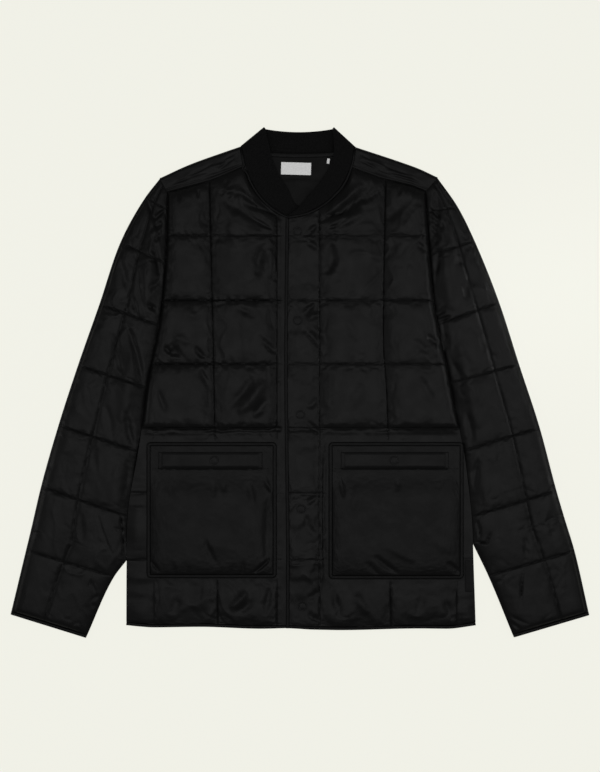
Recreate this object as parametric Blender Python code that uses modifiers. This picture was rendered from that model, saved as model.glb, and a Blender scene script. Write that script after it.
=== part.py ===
"""A quilted jacket that lies flat on its back, front up, with its sleeves down at its sides.

+X is the wearer's left, +Y runs from the hem to the collar and +Z is up, off the surface that the jacket lies on.
The origin is on that surface, in the middle of the jacket's bounds. Every size is in millimetres, and MM turns it
into metres as a mesh is made.

A cloth piece is a wall with a plain inside and an outside that its padding raises between the quilting lines.
Pieces that are sewn edge to edge stand SEAM_GAP apart, and a piece that lies on another stands LAYER_GAP above it.
"""

import math
from collections import namedtuple

import bmesh
import bpy
import numpy as np

MM = 0.001
COLLECTION = "quilted_jacket"

SEAM_GAP = 0.35
ARMHOLE_GAP = 0.6
LAYER_GAP = 0.3

# The walls, and how far the padding rises above them between two quilting lines.
BACK_THICK = 4.5
PANEL_WALL = 3.0
UNDERLAP_WALL = 2.5
PANEL_PUFF = 7.0
YOKE_WALL = 3.2
YOKE_PUFF = 1.6
SLEEVE_UNDER = 4.0
SLEEVE_HOLLOW = 0.5
SLEEVE_WALL = 3.0
SLEEVE_PUFF = 6.5
SLEEVE_EDGE_RADIUS = 3.75
COLLAR_WALL = 3.2
LINING_THICK = 1.2
EDGE_CHAMFER = 2.0

FRONT_INSIDE = BACK_THICK + LAYER_GAP
NECK_LIFT = LINING_THICK + LAYER_GAP
LAP_LIFT = UNDERLAP_WALL + LAYER_GAP

# How far from a stitched line the padding takes to rise, at a quilting line and at a seam.
QUILT_REACH = 14.0
SEAM_REACH = 9.0

# The body's two sides: the armholes down to the underarms, and the side seams below them.
BodyRow = namedtuple("BodyRow", "y right_side left_side")
BODY_ROWS = (
    BodyRow(-361.0, -254.9, 258.0),
    BodyRow(-318.0, -254.8, 256.6),
    BodyRow(-259.7, -254.5, 254.6),
    BodyRow(-225.0, -254.2, 253.6),
    BodyRow(-196.0, -253.0, 252.0),
    BodyRow(-162.0, -248.6, 248.4),
    BodyRow(-108.0, -238.6, 241.6),
    BodyRow(-66.4, -232.2, 233.6),
    BodyRow(-11.0, -225.2, 222.9),
    BodyRow(27.6, -218.0, 215.3),
    BodyRow(85.0, -206.6, 202.7),
    BodyRow(121.0, -201.5, 196.7),
    BodyRow(216.0, -195.3, 188.6),
    BodyRow(280.0, -193.7, 183.8),
)

# The hem's lower edge, with the notch where the fronts lap.
HemPoint = namedtuple("HemPoint", "x y")
HEM = (
    HemPoint(-256.0, -355.6),
    HemPoint(-214.0, -359.0),
    HemPoint(-147.0, -358.2),
    HemPoint(-56.0, -361.0),
    HemPoint(-18.0, -360.2),
    HemPoint(18.0, -362.0),
    HemPoint(60.0, -363.0),
    HemPoint(176.0, -360.6),
    HemPoint(215.0, -361.0),
    HemPoint(260.0, -355.6),
)

# Quilting: level lines right across both fronts, and upright lines given at the yoke and at the hem.
QUILT_Y = (216.0, 121.0, 27.6, -66.4, -162.0, -259.7)
UprightLine = namedtuple("UprightLine", "x_at_yoke x_at_hem depth")
RIGHT_MID_LINE = UprightLine(-131.5, -120.5, 1.0)
RIGHT_SOFT_LINE = UprightLine(-34.0, -34.0, 0.45)
RIGHT_OUTER_LINE = UprightLine(-219.0, -214.6, 1.0)
LEFT_MID_LINE = UprightLine(124.0, 135.0, 1.0)
LEFT_SOFT_LINE = UprightLine(27.0, 27.0, 0.45)
LEFT_OUTER_LINE = UprightLine(231.0, 231.0, 1.0)
UPRIGHT_TOP, UPRIGHT_FOOT = 300.0, -360.0
OUTER_LINE_TOP = 10.0
OUTER_LINE_FADE = 40.0
OUTER_LINE_INSET = 8.0

# The front edge of the wearer's left front, which laps over the right front.
FrontEdgePoint = namedtuple("FrontEdgePoint", "y x")
FRONT_EDGE = (
    FrontEdgePoint(-364.0, -18.0),
    FrontEdgePoint(-250.0, -17.8),
    FrontEdgePoint(-100.0, -19.4),
    FrontEdgePoint(27.0, -20.6),
    FrontEdgePoint(150.0, -19.6),
    FrontEdgePoint(250.0, -18.4),
)
UNDERLAP_END = 16.0
LAP_ZONE = -27.5
LAP_FLAT_TO = 17.0
LAP_DOWN_AT = 38.0

BINDING_WIDTH = 4.8
BINDING_HEIGHT = 3.6

# The neck seam on each front, from the shoulder down to the front edge and, on the right, on under the lap.
NeckPoint = namedtuple("NeckPoint", "x y")
NECK_RIGHT = (
    NeckPoint(-84.2, 341.0),
    NeckPoint(-82.0, 328.5),
    NeckPoint(-78.0, 313.0),
    NeckPoint(-67.5, 289.0),
    NeckPoint(-51.7, 268.0),
    NeckPoint(-34.7, 253.7),
    NeckPoint(-19.0, 245.5),
    NeckPoint(0.0, 241.5),
    NeckPoint(20.0, 239.5),
)
NECK_LEFT = (
    NeckPoint(78.0, 341.0),
    NeckPoint(76.6, 329.0),
    NeckPoint(73.2, 316.0),
    NeckPoint(64.0, 294.0),
    NeckPoint(48.0, 274.7),
    NeckPoint(28.0, 259.0),
    NeckPoint(6.0, 249.0),
    NeckPoint(-20.0, 244.2),
)
NECK_BINDING_WIDTH = 3.6
NECK_BINDING_TOP_Y = 330.0

# The yoke's seams on the two fronts, its seam across the back and the shoulder fold, from the armhole to the neck.
SeamPoint = namedtuple("SeamPoint", "x y")
YOKE_SEAM_RIGHT = (
    SeamPoint(-193.7, 279.6),
    SeamPoint(-162.0, 288.0),
    SeamPoint(-132.0, 296.5),
    SeamPoint(-83.0, 316.5),
)
YOKE_SEAM_LEFT = (
    SeamPoint(183.8, 281.0),
    SeamPoint(162.0, 289.5),
    SeamPoint(120.5, 299.5),
    SeamPoint(77.0, 315.0),
)
SHOULDER_RIGHT = (
    SeamPoint(-205.0, 300.8),
    SeamPoint(-163.0, 320.0),
    SeamPoint(-112.0, 338.5),
    SeamPoint(-88.4, 346.6),
)
SHOULDER_LEFT = (
    SeamPoint(201.4, 301.8),
    SeamPoint(174.0, 314.6),
    SeamPoint(147.0, 324.4),
    SeamPoint(82.4, 345.8),
)
YOKE_BACK_SEAM_Y = 262.0
BACK_NECK_Y = 337.0
BACK_NECK_RISE = 6.2
BACK_NECK_HALF = 84.0

# The collar's band: where its neck edge and its free edge run, and how high its inside lies.
CollarRow = namedtuple("CollarRow", "neck_x neck_y free_x free_y inside_z")
COLLAR_RIGHT = (
    CollarRow(-84.2, 343.2, -50.0, 370.6, 4.8),
    CollarRow(-82.0, 328.5, -46.2, 352.0, 7.1),
    CollarRow(-78.0, 313.0, -42.6, 335.5, 7.4),
    CollarRow(-72.8, 300.0, -38.6, 323.0, 7.4),
    CollarRow(-63.4, 282.5, -32.5, 308.5, 7.4),
    CollarRow(-50.0, 266.5, -25.5, 297.0, 7.4),
    CollarRow(-34.6, 254.8, -18.0, 284.5, 7.4),
    CollarRow(-18.6, 247.0, -7.0, 263.0, 7.4),
    CollarRow(-6.0, 247.6, 0.0, 258.5, 7.4),
)
COLLAR_LEFT = (
    CollarRow(78.2, 342.4, 47.0, 370.6, 4.8),
    CollarRow(76.6, 329.0, 49.6, 353.0, 7.1),
    CollarRow(73.8, 317.0, 49.8, 339.0, 7.4),
    CollarRow(69.0, 305.0, 46.0, 326.0, 7.4),
    CollarRow(61.0, 290.0, 40.5, 311.5, 7.8),
    CollarRow(49.0, 275.6, 34.5, 302.0, 8.6),
    CollarRow(35.0, 263.8, 27.5, 292.5, 10.0),
    CollarRow(19.0, 254.4, 18.0, 280.5, 10.9),
    CollarRow(2.0, 247.8, 7.0, 267.0, 10.9),
    CollarRow(-17.6, 244.6, -2.2, 257.7, 10.9),
)
COLLAR_BACK_DIP = 4.4
COLLAR_EDGE_SHARE = 0.75
COLLAR_FOLD_RADIUS = COLLAR_WALL + 0.8
COLLAR_FOLD_STEPS = 5

# A sleeve, as rings from the shoulder to the cuff. A ring that ends on the armhole has no inner_x of its own,
# and stitched is 1 where a quilting line runs round it.
SleeveRing = namedtuple("SleeveRing", "outer_x outer_y inner_x inner_y stitched")
SLEEVE_RIGHT = (
    SleeveRing(-205.6, 299.8, None, 279.0, 0),
    SleeveRing(-228.0, 271.0, None, 254.0, 1),
    SleeveRing(-264.0, 205.5, None, 175.0, 1),
    SleeveRing(-294.6, 115.5, None, 84.0, 1),
    SleeveRing(-326.0, 26.0, None, -8.0, 1),
    SleeveRing(-354.6, -62.0, None, -101.0, 1),
    SleeveRing(-380.2, -152.0, None, -196.0, 1),
    SleeveRing(-395.4, -217.0, -255.8, -260.5, 0),
    SleeveRing(-402.2, -245.0, -272.8, -284.5, 1),
    SleeveRing(-425.0, -340.0, -314.3, -374.4, 0),
)
SLEEVE_LEFT = (
    SleeveRing(202.0, 300.9, None, 280.6, 0),
    SleeveRing(232.0, 257.8, None, 250.0, 1),
    SleeveRing(256.6, 208.0, None, 188.0, 1),
    SleeveRing(292.5, 118.0, None, 86.0, 1),
    SleeveRing(321.6, 27.6, None, 0.0, 1),
    SleeveRing(352.0, -65.6, None, -99.5, 1),
    SleeveRing(376.6, -158.0, None, -196.0, 1),
    SleeveRing(388.0, -197.0, 255.2, -236.0, 0),
    SleeveRing(403.0, -246.0, 276.4, -283.0, 1),
    SleeveRing(424.8, -341.0, 314.0, -373.8, 0),
)
# The lengthwise quilting line of each sleeve, as a share of the width from the outer edge, at the cuff end.
SLEEVE_LINE_RIGHT = 0.43
SLEEVE_LINE_LEFT = 0.36
CUFF_BINDING_WIDTH = 5.0
CUFF_BINDING_SWELL = 0.8

SEAM_DROP = 0.8
FOLD_SEAM_REACH = 4.0

# The largest loose folds in the cloth, each a ridge from one point to the other.
Fold = namedtuple("Fold", "x0 y0 x1 y1 height half_width")
FOLDS = (
    Fold(-212.0, 232.0, -232.0, 96.0, 3.0, 11.0),
    Fold(-240.0, 66.0, -262.0, -70.0, 2.6, 11.0),
    Fold(-268.0, -120.0, -272.0, -214.0, 2.6, 12.0),
    Fold(-300.0, -262.0, -338.0, -336.0, 2.4, 11.0),
    Fold(208.0, 226.0, 222.0, 106.0, 3.0, 11.0),
    Fold(234.0, 62.0, 262.0, -66.0, 2.6, 11.0),
    Fold(268.0, -128.0, 280.0, -206.0, 2.6, 12.0),
    Fold(306.0, -262.0, 340.0, -334.0, 2.4, 11.0),
)

# The patch pockets, with the welt and the snap of each.
Pocket = namedtuple("Pocket", "side x0 x1 y0 y1 welt_x0 welt_x1 snap_x")
POCKETS = (
    Pocket("right", -225.0, -34.2, -286.5, -87.0, -207.5, -55.0, -125.8),
    Pocket("left", 42.0, 240.0, -288.0, -87.0, 60.0, 218.0, 138.5),
)
POCKET_WALL = 2.4
POCKET_PUFF = 6.0
POCKET_BINDING_WIDTH = 5.8
POCKET_BINDING_HEIGHT = 4.4
POCKET_CORNER = 6.0
POCKET_MARGIN = 9.0
POCKET_RISE = 14.0
WELT_TOP, WELT_FOOT = -101.5, -126.0
WELT_THICK = 2.0
WELT_MARGIN = 3.0

SNAP_RADIUS = 6.5
SNAP_HEIGHT = 2.6
SNAP_BEVEL = 0.8
SNAP_FLAT = 9.0
SNAP_RISE = 22.0
SnapPlace = namedtuple("SnapPlace", "x y")
FRONT_SNAPS = (
    SnapPlace(-3.7, 222.0),
    SnapPlace(-3.5, 91.0),
    SnapPlace(0.6, -46.7),
    SnapPlace(1.8, -185.0),
    SnapPlace(3.8, -327.7),
)

LABEL_SIZE = (46.0, 19.5, 0.7)
LABEL_CENTRE = (-5.8, 314.3)
LABEL_TILT = math.radians(-1.5)
SIZE_TAG_SIZE = (4.6, 8.0, 0.6)
SIZE_TAG_CENTRE = (41.6, 325.4)
NECK_TAPE_WIDTH = 6.6
NECK_TAPE_HEIGHT = 1.4
NECK_TAPE_HALF = 60.0
LINING_HALF = 72.0
LINING_FOOT_Y = 208.0
SIDE_TAB_SIZE = (11.0, 46.0, 1.2)
SIDE_TAB_CENTRE = (247.6, -283.5)

# Where the rows of each quilted square lie, from its upper stitched line to its lower one. Two rows are fitted
# to the pockets' upper and lower edges.
EVEN_ROWS = (0.0, 0.1, 0.3, 0.5, 0.7, 0.9)
ROWS_AT_POCKET_TOP = (0.0, 0.1, 0.2155, 0.5, 0.8)
ROWS_AT_POCKET_FOOT = (0.0, 0.26, 0.2945, 0.42, 0.65, 0.88)
FRONT_ROWS = (EVEN_ROWS, EVEN_ROWS, EVEN_ROWS, EVEN_ROWS, ROWS_AT_POCKET_TOP, EVEN_ROWS, ROWS_AT_POCKET_FOOT)
# Where the columns lie between each two upright lines, from the side seam to the front edge.
SIDE_COLUMNS = (0.0, 0.5)
PANEL_COLUMNS = (0.0, 0.12, 0.36, 0.64, 0.88)
NECK_COLUMNS_RIGHT = (0.0, 0.12, 0.3, 0.5, 0.53, 0.58, 0.65, 0.74, 0.87)
NECK_COLUMNS_LEFT = (0.0, 0.12, 0.3, 0.48, 0.51, 0.56, 0.63, 0.73, 0.86)
RIGHT_COLUMNS = (SIDE_COLUMNS, PANEL_COLUMNS, NECK_COLUMNS_RIGHT, (0.0, 0.5), (0.0, 0.5))
LEFT_COLUMNS = (SIDE_COLUMNS, PANEL_COLUMNS, NECK_COLUMNS_LEFT, (0.0, 0.25, 0.5, 0.75))

Finish = namedtuple("Finish", "name colour roughness metallic")
SHELL = Finish("black_nylon", (0.012, 0.012, 0.012), 0.42, 0.0)
BINDING = Finish("black_binding", (0.008, 0.008, 0.008), 0.5, 0.0)
RIB = Finish("black_rib_knit", (0.005, 0.005, 0.005), 0.95, 0.0)
LINING = Finish("black_lining", (0.009, 0.009, 0.009), 0.45, 0.0)
LABEL = Finish("white_label", (0.72, 0.72, 0.72), 0.7, 0.0)
METAL = Finish("black_metal", (0.03, 0.03, 0.03), 0.3, 0.9)


def smooth(x, xs, ys):
    """The cubic through (xs, ys) that never overshoots them, held level past both ends."""
    xs, ys = np.asarray(xs, float), np.asarray(ys, float)
    x = np.clip(np.asarray(x, float), xs[0], xs[-1])
    step = np.diff(xs)
    slope = np.diff(ys) / step
    tangent = np.empty(len(xs))
    tangent[0], tangent[-1] = slope[0], slope[-1]
    for k in range(1, len(xs) - 1):
        before, after = slope[k - 1], slope[k]
        if before * after <= 0:
            tangent[k] = 0
            continue
        weight_before = 2 * step[k] + step[k - 1]
        weight_after = step[k] + 2 * step[k - 1]
        tangent[k] = (weight_before + weight_after) / (weight_before / before + weight_after / after)
    k = np.clip(np.searchsorted(xs, x, side="right") - 1, 0, len(step) - 1)
    t = (x - xs[k]) / step[k]
    return (
        (1 + 2 * t) * (1 - t) ** 2 * ys[k]
        + t * (1 - t) ** 2 * step[k] * tangent[k]
        + t**2 * (3 - 2 * t) * ys[k + 1]
        - t**2 * (1 - t) * step[k] * tangent[k + 1]
    )


def ramp(value, start, end):
    """0 up to start, 1 from end on, and straight between them."""
    return np.clip((np.asarray(value, float) - start) / (end - start), 0, 1)


def eased(value, start, end):
    t = ramp(value, start, end)
    return t * t * (3 - 2 * t)


def groove(distance, reach, depth=1.0):
    """How much of the padding's rise is left at this distance from a stitched line."""
    return 1 - depth * np.exp(-np.abs(distance) / reach)


def run_through(points, count):
    """The points of a smooth curve through these ones, evenly placed."""
    points = np.asarray(points, float)
    along = np.concatenate([[0], np.cumsum(np.hypot(*np.diff(points[:, :2], axis=0).T))])
    at = np.linspace(0, along[-1], count)
    return np.stack([smooth(at, along, column) for column in points.T], axis=1)


def moved_left(points, distance):
    """A plan curve moved to the left of its own direction."""
    along = np.gradient(points[:, :2], axis=0)
    along /= np.linalg.norm(along, axis=1)[:, None]
    return points[:, :2] + distance * np.stack([-along[:, 1], along[:, 0]], axis=1)


def body_side(side, y):
    """The X of the body's edge at y: side is -1 for the wearer's right, +1 for the left."""
    column = [row.left_side if side > 0 else row.right_side for row in BODY_ROWS]
    return smooth(y, [row.y for row in BODY_ROWS], column)


def hem_y(x):
    return smooth(x, [p.x for p in HEM], [p.y for p in HEM])


def front_edge_x(y):
    return smooth(y, [p.y for p in FRONT_EDGE], [p.x for p in FRONT_EDGE])


def upright_x(line, y):
    share = ramp(y, UPRIGHT_FOOT, UPRIGHT_TOP)
    return line.x_at_hem + (line.x_at_yoke - line.x_at_hem) * share


def outer_line_x(side, y):
    """The outermost upright line, kept inside the armhole where the body narrows."""
    inset = body_side(side, y) - side * OUTER_LINE_INSET
    line = RIGHT_OUTER_LINE if side < 0 else LEFT_OUTER_LINE
    return np.maximum(upright_x(line, y), inset) if side < 0 else np.minimum(upright_x(line, y), inset)


def neck_edge(side, count):
    """The edge of a front and its yoke along the neck, clear of the binding that covers the seam."""
    points = NECK_LEFT if side > 0 else NECK_RIGHT
    return moved_left(run_through(points, count), side * (NECK_BINDING_WIDTH + 2 * SEAM_GAP))


def fold_height(x, y):
    """The height of the loose folds at (x, y), which die away towards their ends."""
    total = np.zeros(np.shape(x))
    for fold in FOLDS:
        run = np.array([fold.x1 - fold.x0, fold.y1 - fold.y0])
        length = np.hypot(*run)
        share = ((x - fold.x0) * run[0] + (y - fold.y0) * run[1]) / length**2
        off = ((x - fold.x0) * run[1] - (y - fold.y0) * run[0]) / length
        body = np.sin(np.pi * np.clip(share, 0, 1)) ** 0.7
        total = total + fold.height * body * np.exp(-((off / fold.half_width) ** 2))
    return total


def rectangle_distance(x, y, x0, x1, y0, y1):
    return np.hypot(np.maximum(np.maximum(x0 - x, x - x1), 0), np.maximum(np.maximum(y0 - y, y - y1), 0))


def add_material(finish):
    found = bpy.data.materials.get(finish.name)
    if found:
        return found
    material = bpy.data.materials.new(finish.name)
    material.use_nodes = True
    shader = material.node_tree.nodes["Principled BSDF"]
    shader.inputs["Base Color"].default_value = (*finish.colour, 1.0)
    shader.inputs["Roughness"].default_value = finish.roughness
    shader.inputs["Metallic"].default_value = finish.metallic
    material.diffuse_color = (*finish.colour, 1.0)
    return material


def add_object(name, mesh, finish, flat_angle=math.radians(40)):
    mesh.materials.clear()
    mesh.materials.append(add_material(finish))
    mesh.shade_smooth()
    mesh.set_sharp_from_angle(angle=flat_angle)
    made = bpy.data.objects.new(name, mesh)
    bpy.data.collections[COLLECTION].objects.link(made)
    return made


def add_wall(name, outside, inside, finish, cells=None, round_closed=False):
    """A closed solid between two grids of points, [row, column, xyz], over the grid cells that are kept."""
    rows, columns = outside.shape[:2]
    spans = columns if round_closed else columns - 1
    kept = np.ones((rows - 1, spans), bool) if cells is None else cells
    mesh = bmesh.new()
    layers = [
        [[mesh.verts.new(point * MM) for point in row] for row in layer] for layer in (outside, inside)
    ]

    def is_kept(row, column):
        column = column % spans if round_closed else column
        return 0 <= row < rows - 1 and 0 <= column < spans and kept[row, column]

    for i in range(rows - 1):
        for j in range(spans):
            if not kept[i, j]:
                continue
            k = (j + 1) % columns
            corners = ((i, j), (i + 1, j), (i + 1, k), (i, k))
            beyond = ((i, j - 1), (i + 1, j), (i, j + 1), (i - 1, j))
            for layer in layers:
                mesh.faces.new([layer[a][b] for a, b in corners])
            for (start, end), neighbour in zip(zip(corners, corners[1:] + corners[:1]), beyond):
                if not is_kept(*neighbour):
                    edge = [layers[0][start[0]][start[1]], layers[0][end[0]][end[1]]]
                    edge += [layers[1][end[0]][end[1]], layers[1][start[0]][start[1]]]
                    mesh.faces.new(edge)
    loose = [vertex for vertex in mesh.verts if not vertex.link_faces]
    bmesh.ops.delete(mesh, geom=loose, context="VERTS")
    bmesh.ops.recalc_face_normals(mesh, faces=mesh.faces)
    data = bpy.data.meshes.new(name)
    mesh.to_mesh(data)
    mesh.free()
    return add_object(name, data, finish)


def add_strip(name, path, widths, heights, finish, closed=False):
    """A soft bar of cloth along a path of its underside's middle points, with its corners cut off."""
    path = np.asarray(path, float)
    count = len(path)
    widths, heights = np.broadcast_to(widths, count), np.broadcast_to(heights, count)
    if closed:
        along = np.roll(path, -1, axis=0) - np.roll(path, 1, axis=0)
    else:
        along = np.gradient(path, axis=0)
    across = np.stack([-along[:, 1], along[:, 0]], axis=1)
    across /= np.linalg.norm(across, axis=1)[:, None]
    profile = (
        (-0.5, 0.25), (-0.34, 0.0), (0.34, 0.0), (0.5, 0.25), (0.5, 0.6), (0.3, 1.0), (-0.3, 1.0), (-0.5, 0.6),
    )
    mesh = bmesh.new()
    rings = []
    for k in range(count):
        ring = []
        for out, up in profile:
            x, y = path[k, :2] + across[k] * out * widths[k]
            ring.append(mesh.verts.new((x * MM, y * MM, (path[k, 2] + up * heights[k]) * MM)))
        rings.append(ring)
    sides = len(profile)
    for k in range(count if closed else count - 1):
        here, there = rings[k], rings[(k + 1) % count]
        for j in range(sides):
            mesh.faces.new([here[j], here[(j + 1) % sides], there[(j + 1) % sides], there[j]])
    if not closed:
        mesh.faces.new(rings[0])
        mesh.faces.new(rings[-1])
    bmesh.ops.recalc_face_normals(mesh, faces=mesh.faces)
    data = bpy.data.meshes.new(name)
    mesh.to_mesh(data)
    mesh.free()
    return add_object(name, data, finish)


def add_block(name, size, centre, base_z, finish, tilt=0.0, bevel=0.25):
    """A thin rectangular piece of cloth with rounded upright edges."""
    mesh = bmesh.new()
    bmesh.ops.create_cube(mesh, size=1.0)
    bmesh.ops.scale(mesh, vec=[side * MM for side in size], verts=mesh.verts)
    data = bpy.data.meshes.new(name)
    mesh.to_mesh(data)
    mesh.free()
    made = add_object(name, data, finish)
    made.location = (centre[0] * MM, centre[1] * MM, (base_z + size[2] / 2) * MM)
    made.rotation_euler = (0.0, 0.0, tilt)
    edges = made.modifiers.new("edges", "BEVEL")
    edges.width = bevel * MM
    edges.segments = 1
    return made


def add_snap(name, place, base_z):
    mesh = bmesh.new()
    bmesh.ops.create_cone(
        mesh, cap_ends=True, segments=20,
        radius1=SNAP_RADIUS * MM, radius2=SNAP_RADIUS * MM, depth=SNAP_HEIGHT * MM,
    )
    data = bpy.data.meshes.new(name)
    mesh.to_mesh(data)
    mesh.free()
    made = add_object(name, data, METAL)
    made.location = (place.x * MM, place.y * MM, (base_z + SNAP_HEIGHT / 2) * MM)
    rim = made.modifiers.new("rim", "BEVEL")
    rim.width = SNAP_BEVEL * MM
    rim.segments = 1
    return made


class Front:
    """One quilted front: its grid of plan points and the heights of its inside and its outside."""

    def __init__(self, side):
        self.side = side
        self.pocket = POCKETS[1] if side > 0 else POCKETS[0]
        self.top_x, self.top_y = self.top_edge()
        self.x, self.y = self.plan()
        self.inside = self.inside_z(self.x, self.y)
        self.outside = self.inside + self.wall(self.x) + self.puff(self.x, self.y)

    def top_edge(self):
        """The yoke's seam from the armhole to the neck, then the edge that the neck binding covers."""
        seam = YOKE_SEAM_LEFT if self.side > 0 else YOKE_SEAM_RIGHT
        neck = neck_edge(self.side, 80)
        neck = neck[neck[:, 1] < seam[-1].y]
        edge = np.concatenate([[(p.x, p.y - SEAM_GAP) for p in seam], neck])
        edge = edge[np.argsort(edge[:, 0])]
        return edge[:, 0], edge[:, 1]

    def top_y_at(self, x):
        return np.interp(x, self.top_x, self.top_y)

    def key_lines(self, y):
        """The X of the upright lines at y, from the side seam to the front edge."""
        side_x = body_side(self.side, y) - self.side * ARMHOLE_GAP / 2
        if self.side < 0:
            lines = (RIGHT_MID_LINE, RIGHT_SOFT_LINE)
            ends = (front_edge_x(y), np.full_like(y, UNDERLAP_END))
        else:
            lines = (LEFT_MID_LINE, LEFT_SOFT_LINE)
            ends = (front_edge_x(y) + BINDING_WIDTH / 2 + SEAM_GAP,)
        uprights = [upright_x(line, y) for line in lines]
        return [side_x, outer_line_x(self.side, y), *uprights, *ends]

    def column_x(self, y):
        keys = self.key_lines(y)
        shares = RIGHT_COLUMNS if self.side < 0 else LEFT_COLUMNS
        made = [a + (b - a) * share for a, b, inner in zip(keys, keys[1:], shares) for share in inner]
        return [*made, keys[-1]]

    def plan(self):
        """X and Y of every grid point, from the yoke down to the hem's binding."""
        top = self.top_y_at(np.concatenate(self.column_x(np.array([YOKE_BACK_SEAM_Y]))))
        top_x = np.array([self.column_x(np.array([y]))[k][0] for k, y in enumerate(top)])
        top = self.top_y_at(top_x)
        foot_x = np.concatenate(self.column_x(np.array([UPRIGHT_FOOT])))
        foot = hem_y(foot_x) + BINDING_WIDTH + SEAM_GAP
        marks = [top, *[np.full_like(top, y) for y in QUILT_Y], foot]
        y = [a + (b - a) * t for a, b, rows in zip(marks, marks[1:], FRONT_ROWS) for t in rows]
        y = np.array([*y, foot])
        x = np.empty_like(y)
        for j in range(len(y)):
            x[j] = [column[k] for k, column in enumerate(self.column_x(y[j]))]
        return x, y

    def inside_z(self, x, y):
        lifted = NECK_LIFT * ramp(y, QUILT_Y[1], QUILT_Y[0] - 14.0) * (1 - ramp(np.abs(x), 95.0, 135.0))
        if self.side > 0:
            lifted = lifted + LAP_LIFT * (1 - ramp(x, LAP_FLAT_TO, LAP_DOWN_AT))
        return FRONT_INSIDE + lifted

    def wall(self, x):
        under = (x > LAP_ZONE) & (self.side < 0)
        return np.where(under, UNDERLAP_WALL, PANEL_WALL)

    def binding_height(self, x):
        """A binding's height, low enough under the lap to leave the left front room."""
        return np.where(self.wall(x) < PANEL_WALL, UNDERLAP_WALL, BINDING_HEIGHT)

    def puff(self, x, y):
        """How far the padding lifts the outside, from the distances to all that presses it down."""
        left = np.full_like(x, PANEL_PUFF)
        for level in QUILT_Y:
            left = left * groove(y - level, QUILT_REACH)
        lines = (LEFT_MID_LINE, LEFT_SOFT_LINE) if self.side > 0 else (RIGHT_MID_LINE, RIGHT_SOFT_LINE)
        for line in lines:
            left = left * groove(x - upright_x(line, y), QUILT_REACH, line.depth)
        shown = 1 - ramp(y, OUTER_LINE_TOP - OUTER_LINE_FADE, OUTER_LINE_TOP)
        left = left * groove(x - outer_line_x(self.side, y), QUILT_REACH, shown)
        left = left * groove(x - body_side(self.side, y), SEAM_REACH)
        left = left * groove(self.top_y_at(x) - y, SEAM_REACH)
        left = left * groove(y - hem_y(x) - BINDING_WIDTH, SEAM_REACH)
        left = left * groove(x - front_edge_x(y) - BINDING_WIDTH / 2, SEAM_REACH)
        pocket = self.pocket
        away = rectangle_distance(x, y, pocket.x0, pocket.x1, pocket.y0, pocket.y1)
        left = left * eased(away, POCKET_MARGIN, POCKET_MARGIN + POCKET_RISE)
        if self.side > 0:
            for snap in FRONT_SNAPS:
                away = np.hypot(x - snap.x, y - snap.y)
                left = left * eased(away, SNAP_FLAT, SNAP_FLAT + SNAP_RISE)
        else:
            left = left * (x <= LAP_ZONE)
        return left

    def top_of(self, x, y, reach_x, reach_y):
        """The highest of the outside's grid over a small rectangle round (x, y)."""
        highest = -math.inf
        for dy in (-reach_y, 0.0, reach_y):
            for dx in (-reach_x, 0.0, reach_x):
                row = [self.height_in_column(k, y + dy) for k in range(self.x.shape[1])]
                columns = np.array([at for at, _ in row])
                heights = np.array([height for _, height in row])
                order = np.argsort(columns)
                highest = max(highest, np.interp(x + dx, columns[order], heights[order]))
        return highest

    def height_in_column(self, k, y):
        """X and the outside's height where one column of the grid passes y."""
        ys, xs, heights = self.y[::-1, k], self.x[::-1, k], self.outside[::-1, k]
        return np.interp(y, ys, xs), np.interp(y, ys, heights)

    def build(self):
        outside = np.stack([self.x, self.y, self.outside], axis=2)
        inside = np.stack([self.x, self.y, self.inside], axis=2)
        name = "front_left" if self.side > 0 else "front_right"
        add_wall(name, outside, inside, SHELL)


def build_back():
    """The back, a slab whose underside lies flat, with a chamfer along its two sides."""
    levels = np.linspace(0, 1, 41)
    chamfer_share = EDGE_CHAMFER / (body_side(1, 0.0) - body_side(-1, 0.0))
    shares = np.array([0.0, chamfer_share, 0.25, 0.5, 0.75, 1 - chamfer_share, 1.0])
    top = YOKE_BACK_SEAM_Y - SEAM_GAP
    side_foot = hem_y(HEM[0].x)
    outside, inside = [], []
    for level in levels:
        side_y = side_foot + level * (top - side_foot)
        start = body_side(-1, side_y) + ARMHOLE_GAP / 2
        end = body_side(1, side_y) - ARMHOLE_GAP / 2
        x = start + (end - start) * shares
        foot = hem_y(x) + BINDING_WIDTH + SEAM_GAP
        y = foot + level * (top - foot)
        low = np.zeros_like(x)
        low[[0, -1]] = EDGE_CHAMFER
        outside.append(np.stack([x, y, low], axis=1))
        inside.append(np.stack([x, y, np.full_like(x, BACK_THICK)], axis=1))
    add_wall("back_panel", np.array(outside), np.array(inside), SHELL)


def back_neck_y(x):
    return BACK_NECK_Y + BACK_NECK_RISE * (np.asarray(x, float) / BACK_NECK_HALF) ** 2


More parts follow.
